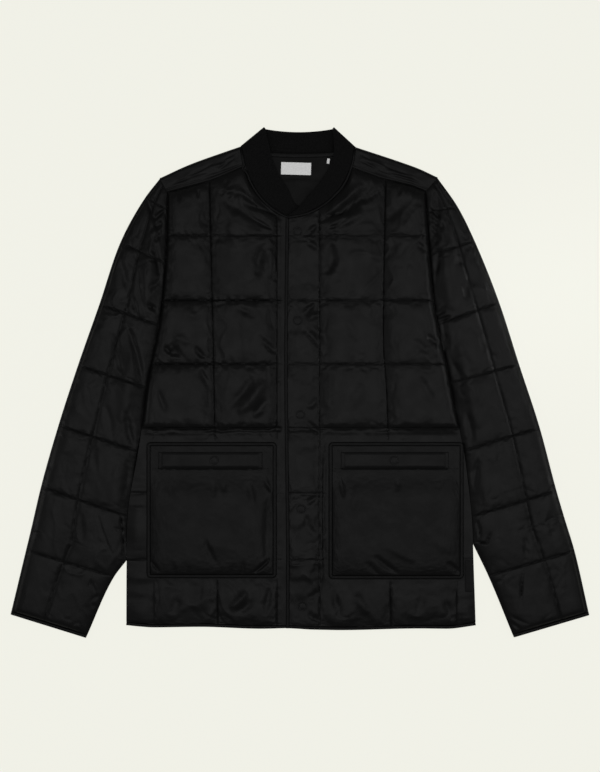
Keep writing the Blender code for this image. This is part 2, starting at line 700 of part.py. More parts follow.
def build_yoke():
    """The yoke: across the back, over both shoulder folds and down to its seams on the fronts."""
    edge_radius = (BACK_THICK + SLEEVE_HOLLOW + YOKE_WALL) / 2
    slit = SLEEVE_HOLLOW / 2
    middle = BACK_THICK + slit
    turns = np.radians([-90.0, -55.0, -20.0, 20.0, 55.0, 90.0])
    shares = np.linspace(0, 1, 9)

    def shoulder_columns(side):
        fold = SHOULDER_LEFT if side > 0 else SHOULDER_RIGHT
        seam = YOKE_SEAM_LEFT if side > 0 else YOKE_SEAM_RIGHT
        neck = neck_edge(side, 80)
        fold_x = np.interp(shares, [0, 1], [fold[0].x, fold[-1].x])
        fold_y = smooth(side * -fold_x, [side * -p.x for p in fold], [p.y for p in fold])
        seam_end = np.interp(-seam[-1].y, -neck[:, 1], neck[:, 0])
        neck_end = (seam[-1].y, fold[-1].y), (seam_end, fold[-1].x)
        seam_x = np.interp(shares, [0, 1], [seam[0].x, seam_end])
        seam_y = np.interp(side * -seam_x, [side * -p.x for p in seam], [p.y for p in seam]) + SEAM_GAP
        back_x = np.interp(shares, [0, 1], [body_side(side, YOKE_BACK_SEAM_Y) - side * SEAM_GAP / 2, fold[-1].x])
        length = abs(fold[0].x - fold[-1].x)
        made = []
        for k, share in enumerate(shares):
            top_edge = np.array([fold_x[k], fold_y[k]])
            down = np.array([seam_x[k], seam_y[k]]) - top_edge
            down = down / np.hypot(*down)
            back_foot = np.array([back_x[k], YOKE_BACK_SEAM_Y + SEAM_GAP])
            under_seam = np.array([seam_x[k], seam_y[k]])
            puff = YOKE_PUFF * groove(share * length, SEAM_REACH) * groove((1 - share) * length, SEAM_REACH)
            out, inner = [], []
            fold_centre = top_edge + down * edge_radius
            for point in (back_foot, (back_foot + under_seam) / 2, under_seam):
                out.append((*point, 0.0))
                inner.append((*point, BACK_THICK))
            for turn in turns:
                place = fold_centre - down * edge_radius * math.cos(turn)
                out.append((*place, edge_radius * (1 + math.sin(turn))))
                inner.append((*(fold_centre - down * slit * math.cos(turn)), middle + slit * math.sin(turn)))
            for level in (0.25, 0.6, 0.85, 1.0):
                point = fold_centre + (under_seam - fold_centre) * level
                straight = np.interp(point[1], *neck_end)
                point[0] += share**3 * (np.interp(-point[1], -neck[:, 1], neck[:, 0]) - straight)
                rise = puff * math.sin(math.pi * level)
                out.append((*point, 2 * edge_radius + rise))
                inner.append((*point, middle + slit))
            made.append((np.array(out), np.array(inner)))
        return made

    right = shoulder_columns(-1)
    left = shoulder_columns(1)[::-1]
    flat_rows = 4
    rows = len(right[0][0])
    middle_columns = []
    for x in np.linspace(SHOULDER_RIGHT[-1].x, SHOULDER_LEFT[-1].x, 15)[1:-1]:
        foot = YOKE_BACK_SEAM_Y + SEAM_GAP
        head = back_neck_y(x) - SEAM_GAP
        y = foot + (head - foot) * np.minimum(np.arange(rows) / (flat_rows - 1), 1.0)
        flat = np.stack([np.full_like(y, x), y, np.zeros_like(y)], axis=1)
        middle_columns.append((flat, flat + (0.0, 0.0, BACK_THICK)))
    columns = [*right, *middle_columns, *left]
    cells = np.ones((len(columns) - 1, rows - 1), bool)
    cells[len(right) - 1 : len(right) + len(middle_columns), flat_rows - 1 :] = False
    add_wall("yoke", np.array([c[0] for c in columns]), np.array([c[1] for c in columns]), SHELL, cells)


class Sleeve:
    """One sleeve, a single wall that goes under, round the outer fold and back over the top to its own seam."""

    STATION_SHARES = (0.0, 0.1, 0.3, 0.5, 0.7, 0.9)
    SHORT_SHARES = (0.0, 0.5)
    SHORT_CELL = 50.0
    OUTSIDE_LINE = (0.14, 0.42, 0.76, 1.0)
    INSIDE_LINE = (0.14, 0.4, 0.7, 0.93)

    def __init__(self, side):
        self.side = side
        self.rings = SLEEVE_LEFT if side > 0 else SLEEVE_RIGHT
        self.line = SLEEVE_LINE_LEFT if side > 0 else SLEEVE_LINE_RIGHT
        outer = np.array([(ring.outer_x, ring.outer_y) for ring in self.rings])
        self.knots = np.concatenate([[0], np.cumsum(np.hypot(*np.diff(outer, axis=0).T))])
        self.apex = next(k for k, ring in enumerate(self.rings) if ring.inner_x is not None)
        self.stitched = np.array([self.knots[k] for k, ring in enumerate(self.rings) if ring.stitched])

    def edges(self, along):
        """The outer and the inner edge's plan points at this distance along the outer edge."""
        rings, knots = self.rings, self.knots
        outer_x = smooth(along, knots, [r.outer_x for r in rings])
        outer_y = smooth(along, knots, [r.outer_y for r in rings])
        if along <= knots[self.apex]:
            upper = rings[: self.apex + 1]
            y = smooth(along, knots[: self.apex + 1], [r.inner_y for r in upper])
            x = body_side(self.side, y) + self.side * ARMHOLE_GAP / 2
            corner = rings[self.apex].inner_x
            x = x + (corner - x) * ramp(along, knots[self.apex - 1], knots[self.apex]) ** 3
        else:
            lower = rings[self.apex :]
            y = smooth(along, knots[self.apex :], [r.inner_y for r in lower])
            x = smooth(along, knots[self.apex :], [r.inner_x for r in lower])
        return np.array([outer_x, outer_y]), np.array([x, y])

    def stations(self, end):
        made = []
        for k, (start, stop) in enumerate(zip(self.knots, self.knots[1:])):
            stop = min(stop, end)
            shares = self.SHORT_SHARES if stop - start < self.SHORT_CELL else self.STATION_SHARES
            made += [start + (stop - start) * share for share in shares]
        return [*made, end]

    def puff(self, along, share, width):
        """The padding's rise at this share of the width from the outer edge."""
        rise = SLEEVE_PUFF * groove(share * width, SEAM_REACH) * groove((1 - share) * width, SEAM_REACH)
        for ring in self.stitched:
            rise = rise * groove(along - ring, QUILT_REACH)
        rise = rise * groove(self.knots[-1] - CUFF_BINDING_WIDTH - along, SEAM_REACH) * groove(along, SEAM_REACH)
        return rise * groove((share - self.line) * width, QUILT_REACH)

    def rise(self, along, share, width, place):
        """The padding and the loose folds together. The folds die out at the seam."""
        fold = float(fold_height(*place)) * groove((1 - share) * width, FOLD_SEAM_REACH)
        return self.puff(along, share, width) + fold

    def section(self, along):
        """The wall's outside and inside points at one station, from the under seam round to the top seam."""
        outer, inner = self.edges(along)
        across = inner - outer
        width = np.hypot(*across)
        across = across / width
        top = SLEEVE_UNDER + SLEEVE_HOLLOW + SLEEVE_WALL
        radius, slit = SLEEVE_EDGE_RADIUS, SLEEVE_HOLLOW / 2
        middle = SLEEVE_UNDER + slit
        out = [(width, EDGE_CHAMFER), (width - EDGE_CHAMFER, 0.0), (width / 2, 0.0)]
        inside = [(width, SLEEVE_UNDER), (width - EDGE_CHAMFER, SLEEVE_UNDER), (width / 2, SLEEVE_UNDER)]
        for turn in np.radians([-90.0, -50.0, -15.0, 15.0, 50.0, 90.0]):
            out.append((radius * (1 - math.cos(turn)), top / 2 * (1 + math.sin(turn))))
            inside.append((radius - slit * math.cos(turn), middle + slit * math.sin(turn)))
        start = radius / width
        shares = [start + (self.line - start) * part for part in self.OUTSIDE_LINE]
        shares += [self.line + (1 - self.line) * part for part in self.INSIDE_LINE]
        for share in shares:
            place = outer + across * share * width
            out.append((share * width, top + self.rise(along, share, width, place)))
            inside.append((share * width, SLEEVE_UNDER + SLEEVE_HOLLOW))
        out.append((width, top - SEAM_DROP))
        inside.append((width, SLEEVE_UNDER + SLEEVE_HOLLOW))
        return [np.array([(*(outer + across * at), z) for at, z in ring]) for ring in (out, inside)]

    def build(self):
        end = self.knots[-1] - CUFF_BINDING_WIDTH - SEAM_GAP
        sections = [self.section(along) for along in self.stations(end)]
        name = "sleeve_left" if self.side > 0 else "sleeve_right"
        add_wall(name, np.array([s[0] for s in sections]), np.array([s[1] for s in sections]), SHELL)

    def build_cuff_binding(self):
        """A flat ring of binding round the cuff's opening."""
        top = SLEEVE_UNDER + SLEEVE_HOLLOW + SLEEVE_WALL
        slit = SLEEVE_HOLLOW / 2
        middle = SLEEVE_UNDER + slit
        outside, inside = [], []
        for share in (0.0, 0.5, 1.0):
            outer, inner = self.edges(self.knots[-1] - CUFF_BINDING_WIDTH * (1 - share))
            across = inner - outer
            width = np.hypot(*across)
            across = across / width
            swell = CUFF_BINDING_SWELL * math.sin(math.pi * share)
            out, inner_ring = [], []
            for at, start in ((SLEEVE_EDGE_RADIUS, 270.0), (width - SLEEVE_EDGE_RADIUS, 90.0)):
                for turn in np.radians(start - np.linspace(0, 180, 6)):
                    level = top / 2 * (1 + math.sin(turn)) + swell * (math.sin(turn) > 0)
                    out.append((*(outer + across * (at + SLEEVE_EDGE_RADIUS * math.cos(turn))), level))
                    hollow = outer + across * (at + slit * math.cos(turn))
                    inner_ring.append((*hollow, middle + slit * math.sin(turn)))
            outside.append(out)
            inside.append(inner_ring)
        name = "cuff_binding_left" if self.side > 0 else "cuff_binding_right"
        add_wall(name, np.array(outside), np.array(inside), BINDING, round_closed=True)


def build_collar():
    """The collar, one band: up the right front, round a fold, along the back, round a fold, down the left front."""
    width_shares = np.array([0.0, 0.12, 0.5, 0.88, 1.0])

    def front_sections(rows, count):
        made = []
        for row in run_through(rows, count):
            neck, free, inside_z = row[:2], row[2:4], row[4]
            points = neck + (free - neck) * width_shares[:, None]
            dome = COLLAR_WALL * np.array([COLLAR_EDGE_SHARE, 1.0, 1.0, 1.0, COLLAR_EDGE_SHARE])
            low = np.column_stack([points, np.full(len(points), inside_z)])
            high = np.column_stack([points, inside_z + dome])
            made.append((high, low))
        return made

    def fold_sections(row):
        neck, free = np.array(row[:2]), np.array(row[2:4])
        along = (free - neck) / np.hypot(*(free - neck))
        outward = np.array([along[1], -along[0]]) * (1 if row.neck_x > 0 else -1)
        points = neck + (free - neck) * width_shares[:, None]
        made = []
        for turn in np.linspace(0, math.pi, COLLAR_FOLD_STEPS + 2)[1:-1]:
            section = []
            for radius in (COLLAR_FOLD_RADIUS, COLLAR_FOLD_RADIUS - COLLAR_WALL):
                moved = points + outward * radius * math.sin(turn)
                height = COLLAR_FOLD_RADIUS + radius * math.cos(turn)
                section.append(np.column_stack([moved, np.full(len(points), height)]))
            made.append(tuple(section))
        return made

    def back_sections(count):
        start, end = COLLAR_RIGHT[0], COLLAR_LEFT[0]
        made = []
        for share in np.linspace(0, 1, count):
            neck_x = start.neck_x + (end.neck_x - start.neck_x) * share
            free_x = start.free_x + (end.free_x - start.free_x) * share
            dip = 4 * share * (1 - share)
            neck_y = float(back_neck_y(neck_x))
            free_y = start.free_y - COLLAR_BACK_DIP * dip
            across = np.array([free_x - neck_x, free_y - neck_y])
            points = np.array([neck_x, neck_y]) + across * width_shares[:, None]
            made.append(
                (
                    np.column_stack([points, np.zeros(len(points))]),
                    np.column_stack([points, np.full(len(points), COLLAR_WALL)]),
                )
            )
        return made

    sections = [
        *front_sections(COLLAR_RIGHT, 22)[::-1],
        *fold_sections(COLLAR_RIGHT[0]),
        *back_sections(11),
        *fold_sections(COLLAR_LEFT[0])[::-1],
        *front_sections(COLLAR_LEFT, 24),
    ]
    add_wall("rib_collar", np.array([s[0] for s in sections]), np.array([s[1] for s in sections]), RIB)


def build_neck_binding(front):
    """The bar along the neck seam, between the collar's edge and the front's edge."""
    curve = neck_edge(front.side, 40)
    on_front = np.column_stack([front.x[0], front.y[0]])
    first = int(np.argmax(front.y[0]))
    above = curve[(curve[:, 1] > front.y[0, first] + NECK_BINDING_WIDTH) & (curve[:, 1] < NECK_BINDING_TOP_Y)]
    edge = np.concatenate([above, on_front[first:]])
    path = moved_left(edge, -front.side * (SEAM_GAP + NECK_BINDING_WIDTH / 2))
    base = front.inside_z(edge[:, 0], edge[:, 1])
    name = "neck_binding_left" if front.side > 0 else "neck_binding_right"
    heights = front.binding_height(edge[:, 0])
    add_strip(name, np.column_stack([path, base]), NECK_BINDING_WIDTH, heights, BINDING)


def build_placket_binding(front):
    """The bar down the front edge of the left front, lying on the right front."""
    y = front.y[:, 0 if front.side < 0 else -1]
    y = np.concatenate([y[:-1], [hem_y(front_edge_x(-360.0)) + 0.2]])
    x = front_edge_x(y)
    path = np.column_stack([x, y, front.inside_z(x, y)])
    add_strip("placket_binding", path, BINDING_WIDTH, BINDING_HEIGHT + 0.2, BINDING)


def build_hem_bindings(fronts):
    """The bars along the hem of the back and of each front."""
    for front in fronts:
        x = front.x[-1]
        y = hem_y(x) + BINDING_WIDTH / 2
        path = np.column_stack([x, y, front.inside_z(x, y)])
        name = "hem_binding_left" if front.side > 0 else "hem_binding_right"
        add_strip(name, path, BINDING_WIDTH, front.binding_height(x), BINDING)
    x = np.linspace(body_side(-1, -360.0) + SEAM_GAP, body_side(1, -360.0) - SEAM_GAP, 15)
    path = np.column_stack([x, hem_y(x) + BINDING_WIDTH / 2, np.zeros_like(x)])
    add_strip("hem_binding_back", path, BINDING_WIDTH, BACK_THICK, BINDING)


def build_pocket(pocket):
    """A padded patch, the binding round it, the welt on it and the snap on the welt."""
    base = FRONT_INSIDE + PANEL_WALL + LAYER_GAP
    inset = POCKET_BINDING_WIDTH + SEAM_GAP
    x0, x1 = pocket.x0 + inset, pocket.x1 - inset
    y0, y1 = pocket.y0 + inset, pocket.y1 - inset
    xs = x0 + (x1 - x0) * np.array([0.0, 0.06, 0.14, 0.26, 0.42, 0.58, 0.74, 0.86, 0.94, 1.0])
    below = WELT_FOOT + (y0 - WELT_FOOT) * np.array([0.0, 0.04, 0.12, 0.26, 0.42, 0.58, 0.74, 0.88, 0.95, 1.0])
    ys = np.array([y1, WELT_TOP, *below])
    x, y = np.meshgrid(xs, ys)
    rise = POCKET_PUFF * np.ones_like(x)
    for distance in (x - x0, x1 - x, y - y0, y1 - y):
        rise = rise * groove(distance, SEAM_REACH)
    rise = rise * groove(y - WELT_FOOT, SEAM_REACH, 0.9)
    away = rectangle_distance(x, y, pocket.welt_x0, pocket.welt_x1, WELT_FOOT, WELT_TOP)
    rise = rise * eased(away, WELT_MARGIN, WELT_MARGIN + POCKET_RISE)
    outside = np.stack([x, y, base + POCKET_WALL + rise], axis=2)
    inside = np.stack([x, y, np.full_like(x, base)], axis=2)
    add_wall(f"pocket_{pocket.side}", outside, inside, SHELL)

    half = POCKET_BINDING_WIDTH / 2
    corners = (
        (pocket.x1 - half, pocket.y1 - half, 0.0),
        (pocket.x0 + half, pocket.y1 - half, 90.0),
        (pocket.x0 + half, pocket.y0 + half, 180.0),
        (pocket.x1 - half, pocket.y0 + half, 270.0),
    )
    path = []
    for corner_x, corner_y, start in corners:
        centre_x = corner_x - math.copysign(POCKET_CORNER - half, math.cos(math.radians(start + 45)))
        centre_y = corner_y - math.copysign(POCKET_CORNER - half, math.sin(math.radians(start + 45)))
        for turn in np.radians(start + np.linspace(0, 90, 4)):
            radius = POCKET_CORNER - half
            path.append((centre_x + radius * math.cos(turn), centre_y + radius * math.sin(turn), base))
    name = f"pocket_binding_{pocket.side}"
    add_strip(name, path, POCKET_BINDING_WIDTH, POCKET_BINDING_HEIGHT, BINDING, closed=True)

    welt_size = (pocket.welt_x1 - pocket.welt_x0, WELT_TOP - WELT_FOOT, WELT_THICK)
    welt_centre = ((pocket.welt_x0 + pocket.welt_x1) / 2, (WELT_TOP + WELT_FOOT) / 2)
    welt_base = base + POCKET_WALL + LAYER_GAP
    add_block(f"pocket_welt_{pocket.side}", welt_size, welt_centre, welt_base, BINDING, bevel=0.6)
    place = SnapPlace(pocket.snap_x, welt_centre[1])
    add_snap(f"pocket_snap_{pocket.side}", place, welt_base + WELT_THICK + LAYER_GAP)


def build_neck_inside():
    """What the neck opening shows: the lining, the tape along the back neck, the label and the size tag."""
    lining_base = BACK_THICK + LAYER_GAP
    levels = np.linspace(0, 1, 7)
    shares = np.linspace(-1, 1, 9)
    outside, inside = [], []
    for level in levels:
        x = shares * LINING_HALF
        head = back_neck_y(x) - NECK_TAPE_WIDTH - 3 * SEAM_GAP
        y = LINING_FOOT_Y + level * (head - LINING_FOOT_Y)
        outside.append(np.stack([x, y, np.full_like(x, lining_base + LINING_THICK)], axis=1))
        inside.append(np.stack([x, y, np.full_like(x, lining_base)], axis=1))
    add_wall("back_lining", np.array(outside), np.array(inside), LINING)

    x = np.linspace(-NECK_TAPE_HALF, NECK_TAPE_HALF, 9)
    path = np.column_stack([x, back_neck_y(x) - NECK_TAPE_WIDTH / 2 - 2 * SEAM_GAP, np.full_like(x, lining_base)])
    add_strip("back_neck_tape", path, NECK_TAPE_WIDTH, NECK_TAPE_HEIGHT, BINDING)

    on_lining = lining_base + LINING_THICK + LAYER_GAP
    add_block("neck_label", LABEL_SIZE, LABEL_CENTRE, on_lining, LABEL, tilt=LABEL_TILT, bevel=0.2)
    add_block("size_tag", SIZE_TAG_SIZE, SIZE_TAG_CENTRE, on_lining, LABEL, bevel=0.15)


def build_front_trim(front):
    """The snaps on the left front's edge, and the tab at its side seam."""
    for number, place in enumerate(FRONT_SNAPS, start=1):
        base = front.top_of(place.x, place.y, SNAP_RADIUS, SNAP_RADIUS) + LAYER_GAP
        add_snap(f"snap_{number}", place, base)
    base = front.top_of(*SIDE_TAB_CENTRE, SIDE_TAB_SIZE[0] / 2, SIDE_TAB_SIZE[1] / 2) + LAYER_GAP
    add_block("side_tab", SIDE_TAB_SIZE, SIDE_TAB_CENTRE, base, BINDING, bevel=0.3)


def start_scene():
    for existing in list(bpy.data.objects):
        bpy.data.objects.remove(existing, do_unlink=True)
    bpy.context.scene.collection.children.link(bpy.data.collections.new(COLLECTION))


def main():
    start_scene()
    build_back()
    build_yoke()
    front_right, front_left = Front(-1), Front(1)
    for front in (front_right, front_left):
        front.build()
        build_neck_binding(front)
    build_placket_binding(front_left)
    build_hem_bindings((front_right, front_left))
    for pocket in POCKETS:
        build_pocket(pocket)
    for side in (-1, 1):
        sleeve = Sleeve(side)
        sleeve.build()
        sleeve.build_cuff_binding()
    build_collar()
    build_neck_inside()
    build_front_trim(front_left)


if __name__ == "__main__":
    main()
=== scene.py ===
"""The looks of a quilted jacket that lies flat on its back, front up, with its sleeves down at its sides.

+X is the wearer's left, +Y runs from the hem to the collar and +Z is up, off the surface that the jacket lies on.
Every size is in millimetres, and MM turns it into metres as a mesh is made. Each padded panel starts on its
solid's form, is sewn down along its quilting lines and swells in a cloth simulation between them.
"""

import logging
import math
from dataclasses import dataclass
from enum import Enum
import bmesh
import bpy
import numpy as np
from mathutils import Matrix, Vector, noise


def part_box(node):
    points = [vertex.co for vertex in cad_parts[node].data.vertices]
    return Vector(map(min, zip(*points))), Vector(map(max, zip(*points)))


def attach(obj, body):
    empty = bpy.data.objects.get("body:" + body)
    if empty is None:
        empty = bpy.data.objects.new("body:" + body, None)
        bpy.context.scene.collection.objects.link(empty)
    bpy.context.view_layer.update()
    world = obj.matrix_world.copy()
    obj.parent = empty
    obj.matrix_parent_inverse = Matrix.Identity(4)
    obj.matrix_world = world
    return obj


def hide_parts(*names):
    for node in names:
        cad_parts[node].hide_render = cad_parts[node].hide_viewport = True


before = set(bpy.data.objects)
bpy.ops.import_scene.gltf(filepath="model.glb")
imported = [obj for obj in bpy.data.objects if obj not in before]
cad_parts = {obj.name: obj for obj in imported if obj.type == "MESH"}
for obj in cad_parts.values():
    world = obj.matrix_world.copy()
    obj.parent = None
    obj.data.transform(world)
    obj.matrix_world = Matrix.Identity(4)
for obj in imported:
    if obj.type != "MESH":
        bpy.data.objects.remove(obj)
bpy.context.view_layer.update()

Array = np.ndarray
Thing = bpy.types.Object
Socket = bpy.types.NodeSocket
LOG = logging.getLogger("jacket")
MM = 0.001
BODY = "root"


class Side(Enum):
    """The wearer's two sides, each with the sign of its X."""

    RIGHT = -1
    LEFT = 1

    @property
    def sign(self) -> int:
        """-1 for the wearer's right, 1 for the left."""
        return self.value

    @property
    def word(self) -> str:
        """The side's name, as node and piece names give it."""
        return self.name.lower()


# ---- the pattern


@dataclass(frozen=True)
class Pattern:
    """The sizes that several pieces share, the same as the solids have."""

    seam_gap: float = 0.12
    armhole_gap: float = 0.14
    layer_gap: float = 0.3
    back_thick: float = 4.5
    panel_wall: float = 3.0
    underlap_wall: float = 2.5
    lining_thick: float = 1.2
    binding_width: float = 4.8
    binding_height: float = 3.6
    neck_binding_width: float = 3.6
    seam_reach: float = 6.0
    quilt_y: tuple = (216, 121, 27.6, -66.4, -162, -259.7)
    underlap_end: float = 16.0
    lap_zone: float = -27.5
    upright_foot: float = -360.0
    yoke_back_seam_y: float = 262.0
    back_neck_y: float = 337.0
    back_neck_rise: float = 6.2
    back_neck_half: float = 84.0
    side_y: tuple = (-361, -318, -259.7, -225, -196, -162, -108, -66.4, -11, 27.6, 85, 121, 216, 280)
    side_right: tuple = (
        -254.9, -254.8, -254.5, -254.2, -253, -248.6, -238.6,
        -232.2, -225.2, -218, -206.6, -201.5, -195.3, -193.7,
    )
    side_left: tuple = (
        258, 256.6, 254.6, 253.6, 252, 248.4, 241.6, 233.6, 222.9, 215.3, 202.7, 196.7, 188.6, 183.8,
    )
    hem_points: tuple = (
        (-256, -355.6), (-214, -359), (-147, -358.2), (-56, -361), (-18, -360.2),
        (18, -362), (60, -363), (176, -360.6), (215, -361), (260, -355.6),
    )
    front_edge_points: tuple = (
        (-364, -18), (-250, -17.8), (-100, -19.4), (27, -20.6), (150, -19.6), (250, -18.4),
    )
    neck_right: tuple = (
        (-84.2, 341), (-82, 328.5), (-78, 313), (-67.5, 289), (-51.7, 268), (-34.7, 253.7),
        (-19, 245.5), (0, 241.5), (20, 239.5),
    )
    neck_left: tuple = (
        (78, 341), (76.6, 329), (73.2, 316), (64, 294), (48, 274.7), (28, 259),
        (6, 249), (-20, 244.2),
    )
    yoke_seam_right: tuple = ((-193.7, 279.6), (-162, 288), (-132, 296.5), (-83, 316.5))
    yoke_seam_left: tuple = ((183.8, 281), (162, 289.5), (120.5, 299.5), (77, 315))
    shoulder_right: tuple = ((-205, 300.8), (-163, 320), (-112, 338.5), (-88.4, 346.6))
    shoulder_left: tuple = ((201.4, 301.8), (174, 314.6), (147, 324.4), (82.4, 345.8))

    @property
    def front_inside(self) -> float:
        """The height of the fronts' inside, just over the back."""
        return self.back_thick + self.layer_gap

    def side_x(self, side: Side, y: Array) -> Array:
        """The X of the body's edge at y."""
        return smooth(y, self.side_y, self.side_left if side is Side.LEFT else self.side_right)

    def hem_y(self, x: Array) -> Array:
        """The Y of the hem's lower edge at x."""
        return smooth(x, *zip(*self.hem_points))

    def front_edge_x(self, y: Array) -> Array:
        """The X of the bound edge of the left front at y."""
        return smooth(y, *zip(*self.front_edge_points))

    def neck_edge(self, side: Side, count: int) -> Array:
        """The edge of a front and its yoke along the neck, clear of the binding on the seam.

        Args:
            side: The front that it belongs to.
            count: How many points to give.

        Returns:
            Plan points from the shoulder down to the front edge.
        """
        points = self.neck_left if side is Side.LEFT else self.neck_right
        return moved_left(run_through(points, count), side.sign * (self.neck_binding_width + 2 * self.seam_gap))

    def back_neck(self, x: Array) -> Array:
        """The Y of the collar's seam on the back at x."""
        return self.back_neck_y + self.back_neck_rise * (np.asarray(x, float) / self.back_neck_half) ** 2


# ---- curves


def smooth(x: Array, xs: tuple, ys: tuple) -> Array:
    """The cubic through (xs, ys) that never overshoots them, held level past both ends.

    Args:
        x: Where to read it.
        xs: Rising places of the points.
        ys: Their values.

    Returns:
        The curve's value at each x.
    """
    xs, ys = np.asarray(xs, float), np.asarray(ys, float)
    x = np.clip(np.asarray(x, float), xs[0], xs[-1])
    step = np.diff(xs)
    slope = np.diff(ys) / step
    tangent = np.empty(len(xs))
    tangent[0], tangent[-1] = slope[0], slope[-1]
    for k in range(1, len(xs) - 1):
        before, after = slope[k - 1], slope[k]
        if before * after <= 0:
            tangent[k] = 0
            continue
        weight_before = 2 * step[k] + step[k - 1]
        weight_after = step[k] + 2 * step[k - 1]
        tangent[k] = (weight_before + weight_after) / (weight_before / before + weight_after / after)
    k = np.clip(np.searchsorted(xs, x, side="right") - 1, 0, len(step) - 1)
    t = (x - xs[k]) / step[k]
    return (
        (1 + 2 * t) * (1 - t) ** 2 * ys[k]
        + t * (1 - t) ** 2 * step[k] * tangent[k]
        + t**2 * (3 - 2 * t) * ys[k + 1]
        - t**2 * (1 - t) * step[k] * tangent[k + 1]
    )


def ramp(value: Array, start: float, end: float) -> Array:
    """0 up to start, 1 from end on, and straight between them."""
    return np.clip((np.asarray(value, float) - start) / (end - start), 0, 1)


def eased(value: Array, start: float, end: float) -> Array:
    """0 up to start, 1 from end on, and an S-curve between them."""
    t = ramp(value, start, end)
    return t * t * (3 - 2 * t)


def dip(distance: Array, reach: float) -> Array:
    """1 on a line, falling in a bell curve on both sides of it."""
    return np.exp(-((distance / reach) ** 2))


def groove(distance: Array, reach: float) -> Array:
    """How much of the padding's rise is left at this distance from a stitched line."""
    return 1 - np.exp(-np.abs(distance) / reach)


def quilted(
    distance: Array, core: float = 0.1, fall: float = 0.3, steep: float = 9.0, gentle: float = 28.0, near: float = 1.3
) -> Array:
    """How much of the padding's rise is left beside a sewn line: a fine dip in a wide, uneven valley.

    Args:
        distance: How far each place is from the line, above 0 on the side where the padding rises steeply.
        core: How much of the rise the fine dip takes away.
        fall: How much of the rise the valley takes away.
        steep: How far the valley reaches on its steep side.
        gentle: How far it reaches on the other side.
        near: How far the fine dip reaches.

    Returns:
        The share of the rise that is left.
    """
    away = np.abs(distance)
    reach = np.where(distance > 0, steep, gentle)
    return (1 - core * np.exp(-away / near)) * (1 - fall * np.exp(-away / reach))


def travelled(points: Array) -> Array:
    """How far along a line in the plan or in space each of its points lies.

    Args:
        points: The line's points in order.

    Returns:
        The distance of each from the first.
    """
    steps = np.diff(points, axis=0)
    lengths = np.hypot(*steps.T) if points.shape[1] == 2 else np.linalg.norm(steps, axis=1)
    return np.concatenate([[0], np.cumsum(lengths)])


def run_through(points: tuple, count: int) -> Array:
    """The points of a smooth curve through these ones, evenly placed.

    Args:
        points: The points, each with any number of measures after its plan place.
        count: How many to give.

    Returns:
        The points along the curve, ends included.
    """
    points = np.asarray(points, float)
    along = travelled(points[:, :2])
    at = np.linspace(0, along[-1], count)
    return np.stack([smooth(at, along, column) for column in points.T], axis=1)


def moved_left(points: Array, distance: float) -> Array:
    """A plan curve moved to the left of its own direction.

    Args:
        points: The curve's points.
        distance: How far to move it; below 0 moves it to the right.

    Returns:
        The moved plan points.
    """
    along = np.gradient(points[:, :2], axis=0)
    along /= np.linalg.norm(along, axis=1)[:, None]
    return points[:, :2] + distance * np.stack([-along[:, 1], along[:, 0]], axis=1)


def from_rectangle(x: Array, y: Array, x0: float, x1: float, y0: float, y1: float) -> Array:
    """How far each place lies outside a rectangle, 0 inside it."""
    return np.hypot(np.maximum(np.maximum(x0 - x, x - x1), 0), np.maximum(np.maximum(y0 - y, y - y1), 0))


def at_height(x: Array, y: Array, z: float | Array) -> Array:
    """The places over or under these plan places at this height."""
    return np.stack([x, y, np.broadcast_to(z, np.shape(x))], axis=-1)


def from_border(x: Array, y: Array) -> Array:
    """How far each place lies inside the rectangle that all of them fill."""
    return np.minimum.reduce([x - x.min(), x.max() - x, y - y.min(), y.max() - y])


def spread(keys: list, spacing: float, gather: float = 0.55) -> tuple:
    """Splits the spans between neighbouring keys into parts, closer together near the keys.

    Args:
        keys: Rising or falling places of lines that have to be kept.
        spacing: About how far apart the places are.
        gather: How much closer they are near the keys, from 0 to below 1.

    Returns:
        For each place, the key before it and its share of the way to the next one.
    """
    spans, shares = [], []
    for k, (start, end) in enumerate(zip(keys, keys[1:])):
        parts = max(2, round(abs(end - start) / spacing))
        spans += [k] * parts
        turns = [part / parts for part in range(parts)]
        shares += [turn - gather * math.sin(2 * math.pi * turn) / (2 * math.pi) for turn in turns]
    return np.array([*spans, len(keys) - 2]), np.array([*shares, 1.0])


def part_way(keys: Array, spans: Array, shares: Array) -> Array:
    """The places at these shares of the way from each span's key to the next one."""
    return keys[spans] + (keys[spans + 1] - keys[spans]) * shares


def first_of(spans: Array, key: int) -> int:
    """The number of the place that lies on this key."""
    return int(np.flatnonzero(spans == key)[0])


def doubled(grid: Array) -> Array:
    """A grid with a new row and column halfway between each two, on cubic curves through the old ones.

    Args:
        grid: Points or measures, [row, column, ...].

    Returns:
        The closer grid, with the old points in every second place.
    """
    for axis in (0, 1):
        grid = np.moveaxis(grid, axis, 0)
        padded = np.concatenate([2 * grid[:1] - grid[1:2], grid, 2 * grid[-1:] - grid[-2:-1]])
        middle = (9 * (padded[1:-2] + padded[2:-1]) - padded[:-3] - padded[3:]) / 16
        made = np.empty((2 * len(grid) - 1, *grid.shape[1:]))
        made[0::2], made[1::2] = grid, middle
        grid = np.moveaxis(made, 0, axis)
    return grid


def unevenness(x: Array, y: Array, size: float, seed: float) -> Array:
    """Smooth noise from about -1 to 1 over the plan, with lumps of about this size."""
    flat = [noise.noise(Vector((a / size, b / size, seed))) for a, b in zip(np.ravel(x), np.ravel(y))]
    return np.reshape(flat, np.shape(x))


